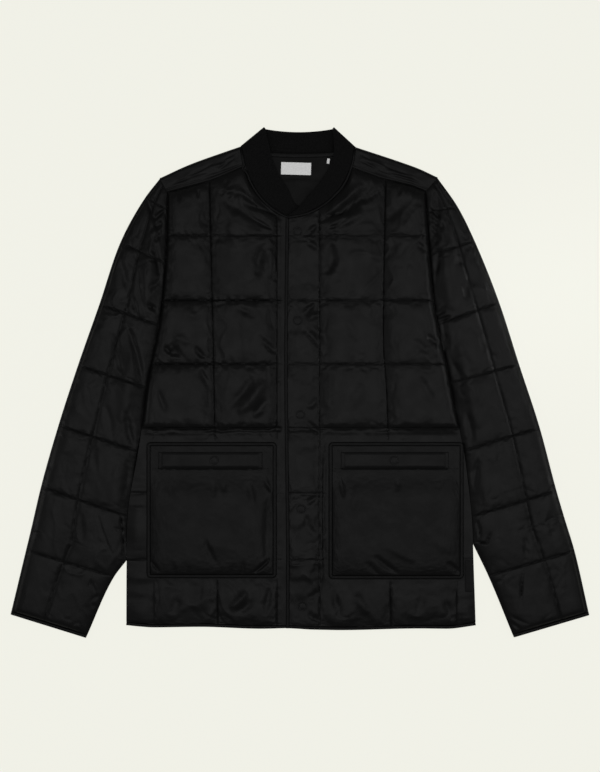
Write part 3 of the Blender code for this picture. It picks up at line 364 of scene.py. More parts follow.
def crumple(x: Array, y: Array, size: float, seed: float) -> Array:
    """Fine folds of thin cloth, from 0 to about 1: narrow ridges that come and go from place to place.

    Args:
        x: Places across, in millimetres.
        y: Places along.
        size: About how far apart the folds lie.
        seed: Which pattern of folds to take.

    Returns:
        The folds' height at each place.
    """
    sway = size * 0.5
    warped_x = x + sway * unevenness(x, y, size * 1.7, seed + 1.3)
    warped_y = y + sway * unevenness(x, y, size * 1.7, seed + 2.7)
    ridge = 1 - np.abs(unevenness(warped_x, warped_y * 0.7, size, seed)) * 2.2
    there = np.clip(0.35 + 1.6 * unevenness(x, y, size * 3.2, seed + 5.1), 0, 1)
    return np.clip(ridge, 0, 1) ** 3 * there


# ---- creases


@dataclass(frozen=True)
class Crease:
    """A soft ridge, or with a negative height a trough, from one place to another."""

    x0: float
    y0: float
    x1: float
    y1: float
    height: float
    half_width: float
    bow: float = 0.0

    def rise(self, x: Array, y: Array) -> Array:
        """Its height at each place, dying away at its ends.

        Args:
            x: The places' X.
            y: The places' Y.

        Returns:
            The height at each.
        """
        run = np.array([self.x1 - self.x0, self.y1 - self.y0])
        length = np.hypot(*run)
        share = ((x - self.x0) * run[0] + (y - self.y0) * run[1]) / length**2
        inside = np.clip(share, 0, 1)
        off = ((x - self.x0) * run[1] - (y - self.y0) * run[0]) / length - self.bow * 4 * inside * (1 - inside)
        reach = self.half_width * (0.55 + 0.45 * np.sin(np.pi * inside))
        return self.height * np.sin(np.pi * inside) ** 0.7 * dip(off, reach)


def crease_table(*rows: tuple) -> tuple:
    """The creases with these numbers: x0, y0, x1, y1, height, half-width and, where it bends, its bow."""
    return tuple(Crease(*row) for row in rows)


def crease_rise(folds: tuple, x: Array, y: Array) -> Array:
    """The heights of all these creases together."""
    return sum((fold.rise(x, y) for fold in folds), np.zeros(np.shape(x)))


SLEEVE_CREASES = crease_table(
    (190, 256, 207, 240, -2.6, 2.6), (190, 242, 211, 228, -2.6, 3, 1), (189, 230, 206, 212, -2.8, 2.6, -1),
    (191, 214, 204, 204, -2.2, 2.4), (196, 98, 214, 110, -2.4, 2.8, 1), (200, 90, 222, 98, -2.2, 2.4),
    (-198, 254, -214, 240, -2.4, 2.6), (-200, 236, -219, 226, -2.6, 2.8, -1), (-201, 220, -214, 206, -2.4, 2.6, 1),
    (-206, 152, -220, 136, -2.2, 3), (-208, 104, -224, 116, -2.2, 2.6), (-212, 232, -232, 96, 3, 11),
    (-240, 66, -262, -70, 2.6, 11), (-268, -120, -271, -196, 1.4, 12), (-298, -186, -272, -257, -1.7, 1.1, 3),
    (-262, -194, -260, -224, -3, 1.5, 0.6), (-260, -222, -258, -258, -3, 1.5, -0.6),
    (-274, -212, -262, -217, -1.8, 1.2), (-306, -288, -299, -309, -1.7, 1.4, 1), (-309, -320, -293, -311, -1.9, 1.5),
    (-307, -322, -296, -333, -1.6, 1.4), (208, 226, 222, 106, 3, 11), (234, 62, 262, -66, 2.6, 11),
    (268, -128, 278, -196, 1.4, 12), (331, -222, 332, -262, -1.6, 2.6), (327, -273, 324, -328, -2.6, 1.3, 1),
    (259, -200, 265, -230, -2.4, 1.2), (281, -218, 273, -238, -2.4, 1.2, 1), (257, -233, 277, -236, -2.4, 1.2),
    (287, -191, 291, -237, -1.4, 1.4), (307, -340, 336, -354, -1.7, 1.5, 1.5), (308, -350, 326, -364, -1.5, 1.5),
    (-224, 272, -205, 226, -2.2, 5, 2), (-216, 214, -206, 140, -2.4, 4.5, -2), (-236, 176, -225, 92, -1.8, 5, 3),
    (-253, 84, -231, -8, -3, 4.5, -3), (-274, 74, -258, 10, -1.6, 5, 2), (-246, 128, -238, 96, -1.5, 3.5),
    (-262, 180, -252, 132, -1.2, 5), (-256, -40, -242, -100, -2.2, 4.5, 2), (-286, -30, -276, -84, -1.2, 5.5, -2),
    (-252, -112, -258, -170, -1.8, 5, -2), (-322, -190, -318, -234, -1.2, 5), (-304, -70, -298, -130, -1, 6, 2),
    (198, 282, 202, 236, -2.2, 5, -2), (207, 202, 200, 140, -2.2, 4.5, 2), (226, 226, 236, 168, -1.4, 6),
    (210, 96, 218, 44, -2.2, 4.5, 2), (248, 152, 255, 118, 1.8, 4), (240, 146, 246, 120, -1.4, 3.5),
    (220, 38, 240, -6, -2, 4.5, -1.5), (262, 96, 272, 40, -1.1, 6), (244, -42, 253, -96, -2.2, 4.5, -2),
    (262, -110, 256, -158, -2, 4.5, 2), (290, -78, 300, -140, -1, 6), (366, -190, 374, -238, -1, 5.5),
)
FRONT_CREASES = crease_table(
    (-126, 280, -60, 258, -1.4, 2.6, -3), (-98, 264, -36, 246, -1.7, 2.4, -3), (-72, 241, -40, 225, -1.2, 2.2),
    (-152, 288, -147, 270, -0.9, 2), (-110, 298, -101, 280, -0.9, 2.2, 1), (-178, 282, -176, 262, -0.8, 2),
    (-205, 200, -192, 214, -1, 2.4), (-235, -92, -236, -160, 2.2, 6, 1), (-236, -166, -237, -256, 2.2, 6, -1),
    (-241, -270, -228, -300, 1.6, 4), (-232, -306, -240, -336, -1.4, 3), (-243, -318, -234, -326, 1.2, 2.4),
    (236, -300, 248, -330, -1.4, 3), (-30, -94, -30.5, -196, -2.2, 1.5), (-29, -180, -30, -286, -2.2, 1.5),
    (-27.4, -120, -27.6, -250, -1.2, 1), (60, 258, 122, 284, -1.4, 2.6, 3), (36, 245, 94, 262, -1.7, 2.4, 3),
    (42, 226, 74, 241, -1.2, 2.2), (104, 294, 97, 276, -0.9, 2.2, -1), (148, 290, 143, 272, -0.9, 2),
    (172, 206, 186, 190, -1, 2.6), (36, -94, 35, -190, -1.6, 1.6), (35, -182, 36, -288, -1.6, 1.6),
    (-86, 282, -26, 238, -2, 5.5, -4), (-112, 282, -46, 262, 1.6, 7, -4), (-118, 270, -64, 236, -1.2, 6, -3),
    (-104, 232, -90, 196, 0.9, 8), (-52, 204, -60, 156, -2.2, 8, 5), (-40, 196, -42, 150, 1.4, 6),
    (-200, 54, -180, 40, -2.4, 3, 1), (-190, 58, -172, 36, -1.8, 3), (-186, 70, -160, 58, 1, 5),
    (-155, 54, -139, 36, -1.8, 3.2, 1), (-146, 20, -136, -2, -1.2, 4), (-92, -44, -52, 4, 2.2, 9, 3),
    (-104, -36, -70, 8, -1.6, 6, 3), (-70, -52, -46, -22, -1.4, 6), (-58, 66, -36, 44, -1.4, 4),
    (-46, 108, -40, 78, -1.2, 4), (-168, 108, -150, 92, 0.8, 6), (-92, 110, -64, 96, -1, 5),
    (-208, -10, -196, -44, -1.2, 4), (-104, -332, -78, -306, 1.8, 6, 2), (-92, -338, -66, -318, -1.2, 4.5),
    (-186, -340, -178, -312, -0.9, 6), (-52, -340, -44, -300, -1.2, 5), (28, 236, 104, 286, -2, 5.5, 4),
    (44, 232, 92, 250, 1.5, 7, 3), (58, 262, 90, 292, 1.2, 5, 2), (46, 204, 40, 158, -2, 7, -4),
    (150, 268, 128, 236, -0.9, 7), (3, 98, 22, 118, -1.8, 3.2, 1), (10, 92, 30, 102, 1.4, 4),
    (5, 80, 28, 52, -1.8, 3.5, -2), (16, 84, 36, 66, 1, 4.5), (8, 214, 24, 232, -1.5, 3.5),
    (8, 210, 26, 196, -1.3, 4), (10, -38, 26, -24, -1.5, 3.5), (10, -56, 28, -76, -1.4, 4),
    (10, -178, 24, -166, -1.4, 3.5), (8, -196, 20, -224, -1.7, 4, 2), (12, -318, 28, -306, -1.4, 3.5),
    (10, -338, 28, -350, -1.4, 3.5), (182, 72, 206, 54, -1.6, 3.5), (166, 64, 188, 44, 0.9, 5),
    (176, 8, 196, -30, -1.1, 5), (70, 92, 84, 60, -0.9, 6), (92, 0, 74, -40, 1.1, 8),
    (100, -338, 82, -308, 1.4, 6, -2), (60, -344, 48, -306, -1.4, 5), (172, -342, 180, -308, -0.9, 6),
    (222, -346, 212, -318, -1, 5),
)
POCKET_CREASES = crease_table(
    (-52, -136, -42, -160, -1.8, 3.5, 1), (-68, -279, -44, -258, -2.6, 2.4, 0.5), (-47, -168, -48, -268, -2.4, 7, 1),
    (-142, -224, -121, -270, -2, 3.2, 1.5), (-132, -128, -125, -172, -1.4, 2.4), (-120, -128, -108, -164, -1.4, 2.4),
    (-75, -146, -67, -178, -1.6, 5), (-219, -260, -206, -277, -2.2, 2.6, 0.5), (-186, -262, -184, -284, -1.2, 2.2),
    (-166, -264, -163, -284, -1.1, 2), (-98, -264, -101, -284, -1.3, 2.2), (-84, -262, -82, -284, -1.2, 2),
    (-196, -140, -184, -176, -0.8, 5), (-74, -150, -62, -210, -0.9, 7, 3), (-150, -232, -96, -246, 0.8, 9),
    (57, -134, 64, -170, -1.9, 3.5, -1), (84, -150, 76, -196, 0.9, 6), (108, -252, 146, -280, -1.9, 4, 2),
    (96, -262, 118, -284, -1.3, 3.5), (128, -240, 170, -262, 1.2, 6), (141, -133, 145, -158, -1.5, 3),
    (226, -138, 236, -172, -1.6, 4, 1), (214, -262, 236, -282, -1.8, 4, -1), (196, -228, 222, -250, 0.9, 7),
)
YOKE_CREASES = crease_table(
    (-190, 290, -136, 309, -1.5, 2, -1.5), (-180, 297, -140, 308, 1, 2.4), (-168, 302, -128, 322, -1.2, 1.8, 1),
    (-146, 300, -100, 316, -1.6, 2, 1.5), (-134, 316, -104, 324, 1.2, 2.6, 1), (-122, 309, -96, 330, -1.4, 1.8, -1),
    (-112, 327, -94, 338, -1, 1.8), (-108, 311, -90, 319, -1.2, 1.7), (-96, 340, -92, 322, -1.1, 1.8),
    (182, 290, 132, 306, -1.5, 2, 1.5), (172, 300, 126, 312, 1, 2.6), (160, 305, 118, 322, -1.3, 1.8, -1),
    (142, 302, 92, 319, -1.6, 2, -2), (128, 317, 96, 329, 1.2, 2.6, -1), (118, 310, 88, 326, -1.4, 1.8, 1),
    (106, 325, 86, 338, -1, 1.8), (100, 307, 82, 315, -1.2, 1.7), (90, 340, 84, 322, -1.1, 1.8),
)
LINING_CREASES = crease_table(
    (-16, 304, -6, 250, 0.8, 7), (20, 306, 12, 256, -0.7, 6), (-44, 312, -30, 276, 0.6, 7),
    (46, 318, 34, 282, 0.6, 7),
)

# ---- finishes


class ShaderSketch:
    """One material and the nodes that are added to it."""

    USUAL = (0.3, 0.7)

    def __init__(self, name: str) -> None:
        """Starts a material of this name with only its main shader.

        Args:
            name: The material's name.
        """
        self.material = bpy.data.materials.new(name)
        self.material.use_nodes = True
        self.tree = self.material.node_tree

    def add(self, kind: str, settings: dict | None = None, **inputs: object) -> bpy.types.Node:
        """Adds a node.

        Args:
            kind: The node's type, after the word that all of them start with.
            settings: Its own options.
            **inputs: A value or another node's output for each named input, with _ for a space.

        Returns:
            The node.
        """
        made = self.tree.nodes.new("ShaderNode" + kind)
        for name, value in (settings or {}).items():
            setattr(made, name, value)
        self.feed(made, inputs)
        return made

    def feed(self, node: bpy.types.Node, inputs: dict) -> None:
        """Links an output to each named input of a node, or sets the input's own value.

        Args:
            node: The node.
            inputs: What goes to each input, with _ for a space.
        """
        for name, value in inputs.items():
            socket = node.inputs[name.replace("_", " ")]
            if isinstance(value, Socket):
                self.tree.links.new(value, socket)
            else:
                socket.default_value = value

    def set(self, **values: object) -> None:
        """Sets or links the main shader's inputs, with _ for a space."""
        self.feed(self.tree.nodes["Principled BSDF"], values)

    def placed(self, which: str, scale: tuple, turn: float = 0.0) -> Socket:
        """The Object or UV coordinates in metres, turned about Z and scaled."""
        places = self.add("TexCoord").outputs[which]
        return self.add("Mapping", Vector=places, Scale=scale, Rotation=(0.0, 0.0, turn)).outputs["Vector"]

    def cloud(self, size: float, detail: float = 4.0, which: str = "Object", stretch: tuple = (1, 1, 1)) -> Socket:
        """Noise with lumps of about this size in metres."""
        places = self.placed(which, tuple(part / size for part in stretch))
        return self.add("TexNoise", Vector=places, Scale=1.0, Detail=detail, Roughness=0.55).outputs["Fac"]

    def ranged(self, value: Socket, low: float, high: float) -> Socket:
        """The value's usual span brought to these two numbers.

        Args:
            value: The value.
            low: The number for its low end.
            high: The number for its high end.

        Returns:
            The new value.
        """
        start, end = self.USUAL
        made = self.add("MapRange", Value=value, From_Min=start, From_Max=end, To_Min=low, To_Max=high)
        return made.outputs["Result"]

    def between(self, factor: Socket, dark: tuple, light: tuple) -> Socket:
        """A colour that goes from dark to light over the factor's usual span.

        Args:
            factor: What picks the colour.
            dark: The colour at its low end.
            light: The one at its high end.

        Returns:
            The colour.
        """
        made = self.add("ValToRGB", Fac=factor)
        for stop, place, colour in zip(made.color_ramp.elements, self.USUAL, (dark, light)):
            stop.position, stop.color = place, (*colour, 1.0)
        return made.outputs["Color"]

    def grey(self, factor: Socket, tone: float, low: float, high: float) -> Socket:
        """A grey that goes from low to high times its tone."""
        return self.between(factor, (tone * low,) * 3, (tone * high,) * 3)

    def threads(self, turn: float, pitch: float) -> Socket:
        """Parallel threads over the piece's own UV map, turned by degrees and this far apart in metres."""
        places = self.placed("UV", (1.0, 1.0, 1.0), math.radians(turn))
        return self.add("TexWave", Vector=places, Scale=math.pi / (10.0 * pitch)).outputs["Fac"]

    def mixed(self, first: Socket, second: Socket, way: str = "MULTIPLY") -> Socket:
        """Two heights put together.

        Args:
            first: One height.
            second: The other.
            way: The sum that joins them.

        Returns:
            The joined height.
        """
        made = self.add("Math", {"operation": way})
        for value, socket in zip((first, second), made.inputs):
            self.tree.links.new(value, socket)
        return made.outputs["Value"]

    def raised(self, *layers: tuple) -> None:
        """Gives the shader a bump from (height, depth in metres, strength) layers."""
        below: dict = {}
        for height, depth, strength in layers:
            bump = self.add("Bump", Height=height, Distance=depth, Strength=strength, **below)
            below = {"Normal": bump.outputs["Normal"]}
        self.set(**below)


class Finish:
    """What every finish shares: how its material is made."""

    def build(self) -> bpy.types.Material:
        """Makes the material.

        Returns:
            The material.
        """
        sketch = ShaderSketch(self.name)
        self.shade(sketch)
        return sketch.material


@dataclass(frozen=True)
class NylonFinish(Finish):
    """Thin smooth nylon with a soft sheen, over padding."""

    name: str
    colour: float = 0.0038
    spread: float = 0.16
    roughness: float = 0.38
    shine: float = 0.084
    slot: str = "shell"

    def shade(self, sketch: ShaderSketch) -> None:
        """A fine plain weave, small crinkles and a faintly uneven tone.

        Args:
            sketch: The material to dress.
        """
        low, high = (self.colour * (1 + way * self.spread) for way in (-1, 1))
        sketch.set(
            Base_Color=sketch.between(sketch.cloud(0.045, 5.0), (low,) * 3, (high, high, high * 0.99)),
            Roughness=sketch.ranged(sketch.cloud(0.02), self.roughness - 0.05, self.roughness + 0.06),
            Specular_IOR_Level=self.shine,
        )
        weave = sketch.mixed(sketch.threads(0.0, 0.00032), sketch.threads(90.0, 0.00036))
        ripple = sketch.cloud(0.022, 2.0, stretch=(1.0, 1.6, 1.0))
        sketch.raised((ripple, 0.0009, 0.22), (sketch.cloud(0.009, 3.0), 0.0003, 0.2), (weave, 0.00004, 0.2))


@dataclass(frozen=True)
class TapeFinish(Finish):
    """Woven binding tape with a fine slanting rib."""

    name: str
    colour: float = 0.002
    roughness: float = 0.45
    pitch: float = 0.0007
    slot: str = "binding"

    def shade(self, sketch: ShaderSketch) -> None:
        """Twill lines across the tape and a slight change of tone.

        Args:
            sketch: The material to dress.
        """
        sketch.set(
            Base_Color=sketch.grey(sketch.cloud(0.02), self.colour, 0.82, 1.2),
            Roughness=sketch.ranged(sketch.cloud(0.008), self.roughness - 0.06, self.roughness + 0.08),
            Specular_IOR_Level=0.1,
        )
        sketch.raised((sketch.cloud(0.006, 3.0), 0.0003, 0.3), (sketch.threads(55.0, self.pitch), 0.00009, 0.5))


@dataclass(frozen=True)
class KnitFinish(Finish):
    """Matte rib knit, with the loops that run up each rib."""

    name: str
    colour: float = 0.0056
    roughness: float = 0.93
    slot: str = "rib_knit"

    def shade(self, sketch: ShaderSketch) -> None:
        """Small loops, fuzz and an uneven dull black.

        Args:
            sketch: The material to dress.
        """
        sketch.set(
            Base_Color=sketch.grey(sketch.cloud(0.003, 6.0, "UV"), self.colour, 0.75, 1.3),
            Roughness=sketch.ranged(sketch.cloud(0.006), self.roughness - 0.06, self.roughness + 0.05),
            Specular_IOR_Level=0.04,
            Sheen_Weight=0.005,
            Sheen_Roughness=0.6,
        )
        loops = sketch.mixed(sketch.threads(62.0, 0.0009), sketch.threads(-62.0, 0.0009), "MAXIMUM")
        sketch.raised((sketch.cloud(0.0016, 5.0, "UV"), 0.0003, 0.5), (loops, 0.00022, 0.6))


@dataclass(frozen=True)
class LabelFinish(Finish):
    """A bare woven satin label."""

    name: str
    colour: tuple = (0.9, 0.9, 0.895)
    slot: str = "label"

    def shade(self, sketch: ShaderSketch) -> None:
        """A close satin weave on a slightly uneven white.

        Args:
            sketch: The material to dress.
        """
        dark = tuple(part * 0.93 for part in self.colour)
        sketch.set(
            Base_Color=sketch.between(sketch.cloud(0.006, 5.0), dark, self.colour),
            Roughness=sketch.ranged(sketch.cloud(0.004), 0.58, 0.7),
            Specular_IOR_Level=0.3,
        )
        weave = sketch.mixed(sketch.threads(0.0, 0.00035), sketch.threads(90.0, 0.0006))
        sketch.raised((sketch.cloud(0.007, 2.0), 0.0003, 0.3), (weave, 0.00006, 0.5))


@dataclass(frozen=True)
class ThreadFinish(Finish):
    """Twisted sewing thread."""

    name: str
    colour: float = 0.0045
    slot: str = "binding"

    def shade(self, sketch: ShaderSketch) -> None:
        """A slight change of tone from stitch to stitch and a faint twist.

        Args:
            sketch: The material to dress.
        """
        tone = sketch.grey(sketch.cloud(0.004, 3.0), self.colour, 0.7, 1.4)
        sketch.set(Base_Color=tone, Roughness=0.55, Specular_IOR_Level=0.08)
        sketch.raised((sketch.cloud(0.0006, 2.0), 0.0001, 0.5))


@dataclass(frozen=True)
class SnapFinish(Finish):
    """Black paint on pressed metal, with fine marks all over."""

    name: str
    colour: float = 0.0045
    roughness: float = 0.36
    slot: str = "snap_metal"

    def shade(self, sketch: ShaderSketch) -> None:
        """Satin paint with fine marks.

        Args:
            sketch: The material to dress.
        """
        marks = sketch.cloud(0.0022, 6.0)
        sketch.set(
            Base_Color=sketch.grey(marks, self.colour, 0.8, 1.25),
            Roughness=sketch.ranged(marks, self.roughness - 0.07, self.roughness + 0.1),
            Specular_IOR_Level=0.07,
        )
        sketch.raised((sketch.cloud(0.0012), 0.00005, 0.4))


@dataclass(frozen=True)
class FloorFinish(Finish):
    """A plain pale surface."""

    name: str
    colour: tuple = (0.09, 0.09, 0.082)
    glow: float = 0.826

    def shade(self, sketch: ShaderSketch) -> None:
        """Matte and partly lit from within, so that shadows on it stay faint.

        Args:
            sketch: The material to dress.
        """
        tone = sketch.cloud(0.5, 2.0)
        sketch.set(
            Base_Color=sketch.between(tone, self.colour, tuple(part * 1.004 for part in self.colour)),
            Roughness=0.9,
            Specular_IOR_Level=0.0,
            Emission_Color=sketch.between(tone, (0.999, 0.999, 0.912), (1.0, 1.0, 0.913)),
            Emission_Strength=self.glow,
        )


class Finishes:
    """Every finish, made once and worn by the pieces that name it."""

    SHELL = NylonFinish("black_nylon")
    POCKET = NylonFinish("black_nylon_pocket", colour=0.0036, shine=0.072)
    LINING = NylonFinish("black_lining", colour=0.003, roughness=0.5, shine=0.07, slot="lining")
    BINDING = TapeFinish("black_binding_tape")
    TAB = TapeFinish("black_woven_tab", colour=0.004, roughness=0.6, pitch=0.0009)
    RIB = KnitFinish("black_rib_knit")
    LABEL = LabelFinish("white_woven_label")
    THREAD = ThreadFinish("black_thread")
    SNAP = SnapFinish("black_snap_paint")
    FLOOR = FloorFinish("pale_floor")

    made: dict = {}

    @classmethod
    def wear(cls, made: Thing, finish: Finish) -> None:
        """Gives an object this finish alone.

        Args:
            made: The object.
            finish: The finish.
        """
        if finish.name not in cls.made:
            cls.made[finish.name] = finish.build()
        made.data.materials.clear()
        made.data.materials.append(cls.made[finish.name])


# ---- making pieces


def link(made: Thing) -> Thing:
    """Puts an object in the scene."""
    bpy.context.scene.collection.objects.link(made)
    return made


def add_piece(name: str, mesh: bpy.types.Mesh, finish: Finish, *nodes: str, sharp: float = 50.0) -> None:
    """Makes a piece of the jacket of a finished mesh.

    Args:
        name: The piece's name.
        mesh: Its mesh, in place.
        finish: What it is made of.
        *nodes: The solids that it stands for.
        sharp: The angle in degrees past which an edge stays sharp.
    """
    mesh.name = name
    mesh.shade_smooth()
    mesh.set_sharp_from_angle(angle=math.radians(sharp))
    keep_piece(link(bpy.data.objects.new(name, mesh)), finish, *nodes)


def keep_piece(made: Thing, finish: Finish, *nodes: str) -> None:
    """Dresses an object and makes it ride, in the place of these solids.

    Args:
        made: The object.
        finish: Its finish.
        *nodes: The solids that it stands for.
    """
    Finishes.wear(made, finish)
    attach(made, BODY)
    if nodes:
        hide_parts(*nodes)
    LOG.info("%s: %d faces, for %s", made.name, len(made.data.polygons), ", ".join(nodes) or "no solid")


def mesh_from(points: Array, faces: list, flat: Array) -> bpy.types.Mesh:
    """A mesh from points and faces, with a UV map in metres.

    Args:
        points: Its places in millimetres.
        faces: The point numbers round each face.
        flat: For each point, its place on the cut cloth in millimetres.

    Returns:
        The mesh, with its faces turned outwards.
    """
    made = bpy.data.meshes.new("piece")
    made.from_pydata((points * MM).tolist(), [], faces)
    work = bmesh.new()
    work.from_mesh(made)
    bmesh.ops.recalc_face_normals(work, faces=work.faces)
    work.to_mesh(made)
    work.free()
    corners = np.empty(len(made.loops), np.int64)
    made.loops.foreach_get("vertex_index", corners)
    made.uv_layers.new(name="cut").data.foreach_set("uv", (flat[corners] * MM).ravel())
    return made


def grid_faces(first: int, rows: int, columns: int) -> Array:
    """The point numbers round each cell of a grid whose points are numbered row by row from first."""
    index = first + np.arange(rows * columns).reshape(rows, columns)
    return np.stack([index[:-1, :-1], index[:-1, 1:], index[1:, 1:], index[1:, :-1]], -1).reshape(-1, 4)


def band_faces(near: Array, far: Array) -> list:
    """The cells between rings of point numbers and the next ones, where each ring closes on itself."""
    quads = [near, np.roll(near, -1, axis=-1), np.roll(far, -1, axis=-1), far]
    return np.stack(quads, -1).reshape(-1, 4).tolist()


def rim_of(rows: int, columns: int) -> list:
    """The cells' corners round a grid's edge, in order.

    Args:
        rows: The grid's rows.
        columns: The grid's columns.

    Returns:
        A row and a column for each corner.
    """
    return (
        [(0, j) for j in range(columns - 1)]
        + [(i, columns - 1) for i in range(rows - 1)]
        + [(rows - 1, j) for j in range(columns - 1, 0, -1)]
        + [(i, 0) for i in range(rows - 1, 0, -1)]
    )


def cut_places(grid: Array) -> Array:
    """Where each point of a grid lies on the cut cloth: its mean distance along the rows and the columns.

    Args:
        grid: The points in rows.

    Returns:
        Two distances for each point.
    """
    along = np.linalg.norm(np.diff(grid, axis=1), axis=2).mean(axis=0)
    down = np.linalg.norm(np.diff(grid, axis=0), axis=2).mean(axis=1)
    u, v = (np.concatenate([[0], np.cumsum(steps)]) for steps in (along, down))
    return np.stack(np.meshgrid(u, v), axis=2)


def layered(outside: Array, inside: Array) -> tuple:
    """The points of two grids, one after the other, and their places on the cut cloth.

    Args:
        outside: The outer grid.
        inside: The inner grid.

    Returns:
        The points and their places.
    """
    grids = (outside, inside)
    points = np.concatenate([grid.reshape(-1, 3) for grid in grids])
    return points, np.concatenate([cut_places(grid).reshape(-1, 2) for grid in grids])


def closed_wall(outside: Array, inside: Array) -> bpy.types.Mesh:
    """A closed wall of cloth with a fine outside and an inside that has every second of its rows and columns.

    Args:
        outside: Points of the outside, [row, column, xyz].
        inside: Points of the inside, half as close.

    Returns:
        The mesh.
    """
    rows, columns = outside.shape[:2]
    low_rows, low_columns = inside.shape[:2]
    first = rows * columns
    faces = grid_faces(0, rows, columns).tolist() + grid_faces(first, low_rows, low_columns)[:, ::-1].tolist()
    rim, low = rim_of(rows, columns), rim_of(low_rows, low_columns)
    for k, (i, j) in enumerate(low):
        next_i, next_j = low[(k + 1) % len(low)]
        run = [rim[(2 * k + step) % len(rim)] for step in (2, 1, 0)]
        face = [a * columns + b for a, b in run]
        faces.append([*face, first + i * low_columns + j, first + next_i * low_columns + next_j])
    points, flat = layered(outside, inside)
    return mesh_from(points, faces, flat)


def even_wall(outside: Array, inside: Array, cells: Array | None = None) -> bpy.types.Mesh:
    """A closed wall between two equally close grids.

    Args:
        outside: Points of the one grid, [row, column, xyz].
        inside: Points of the other.
        cells: Which of their cells are kept; all of them where it isn't given.

    Returns:
        The mesh.
    """
    rows, columns = outside.shape[:2]
    first = rows * columns
    if cells is None:
        cells = np.ones((rows - 1, columns - 1), bool)
    outer = grid_faces(0, rows, columns).reshape(rows - 1, columns - 1, 4)
    faces = [*outer[cells].tolist(), *(outer[cells][:, ::-1] + first).tolist()]
    kept = np.pad(cells, 1)
    for i, j in zip(*np.nonzero(cells)):
        a, b, c, d = outer[i, j].tolist()
        beyond = ((i, j + 1, a, b), (i + 1, j + 2, b, c), (i + 2, j + 1, c, d), (i + 1, j, d, a))
        ends = [(start, end) for row, column, start, end in beyond if not kept[row, column]]
        faces += [[end, start, start + first, end + first] for start, end in ends]
    points, flat = layered(outside, inside)
    used = np.unique(np.concatenate([np.ravel(face) for face in faces]))
    renumbered = np.zeros(len(points), int)
    renumbered[used] = np.arange(len(used))
    return mesh_from(points[used], [renumbered[face].tolist() for face in faces], flat[used])


@dataclass
class Cloth:
    """A padded panel on its way to a finished piece: its grid, and how it is sewn down and filled."""

    name: str
    outside: Array
    inside: Array
    sewn: Array
    least: Array
    fullness: tuple = (0.012, 0.036)
    pressure: float = 0.1
    liveliness: float | Array = 1.0


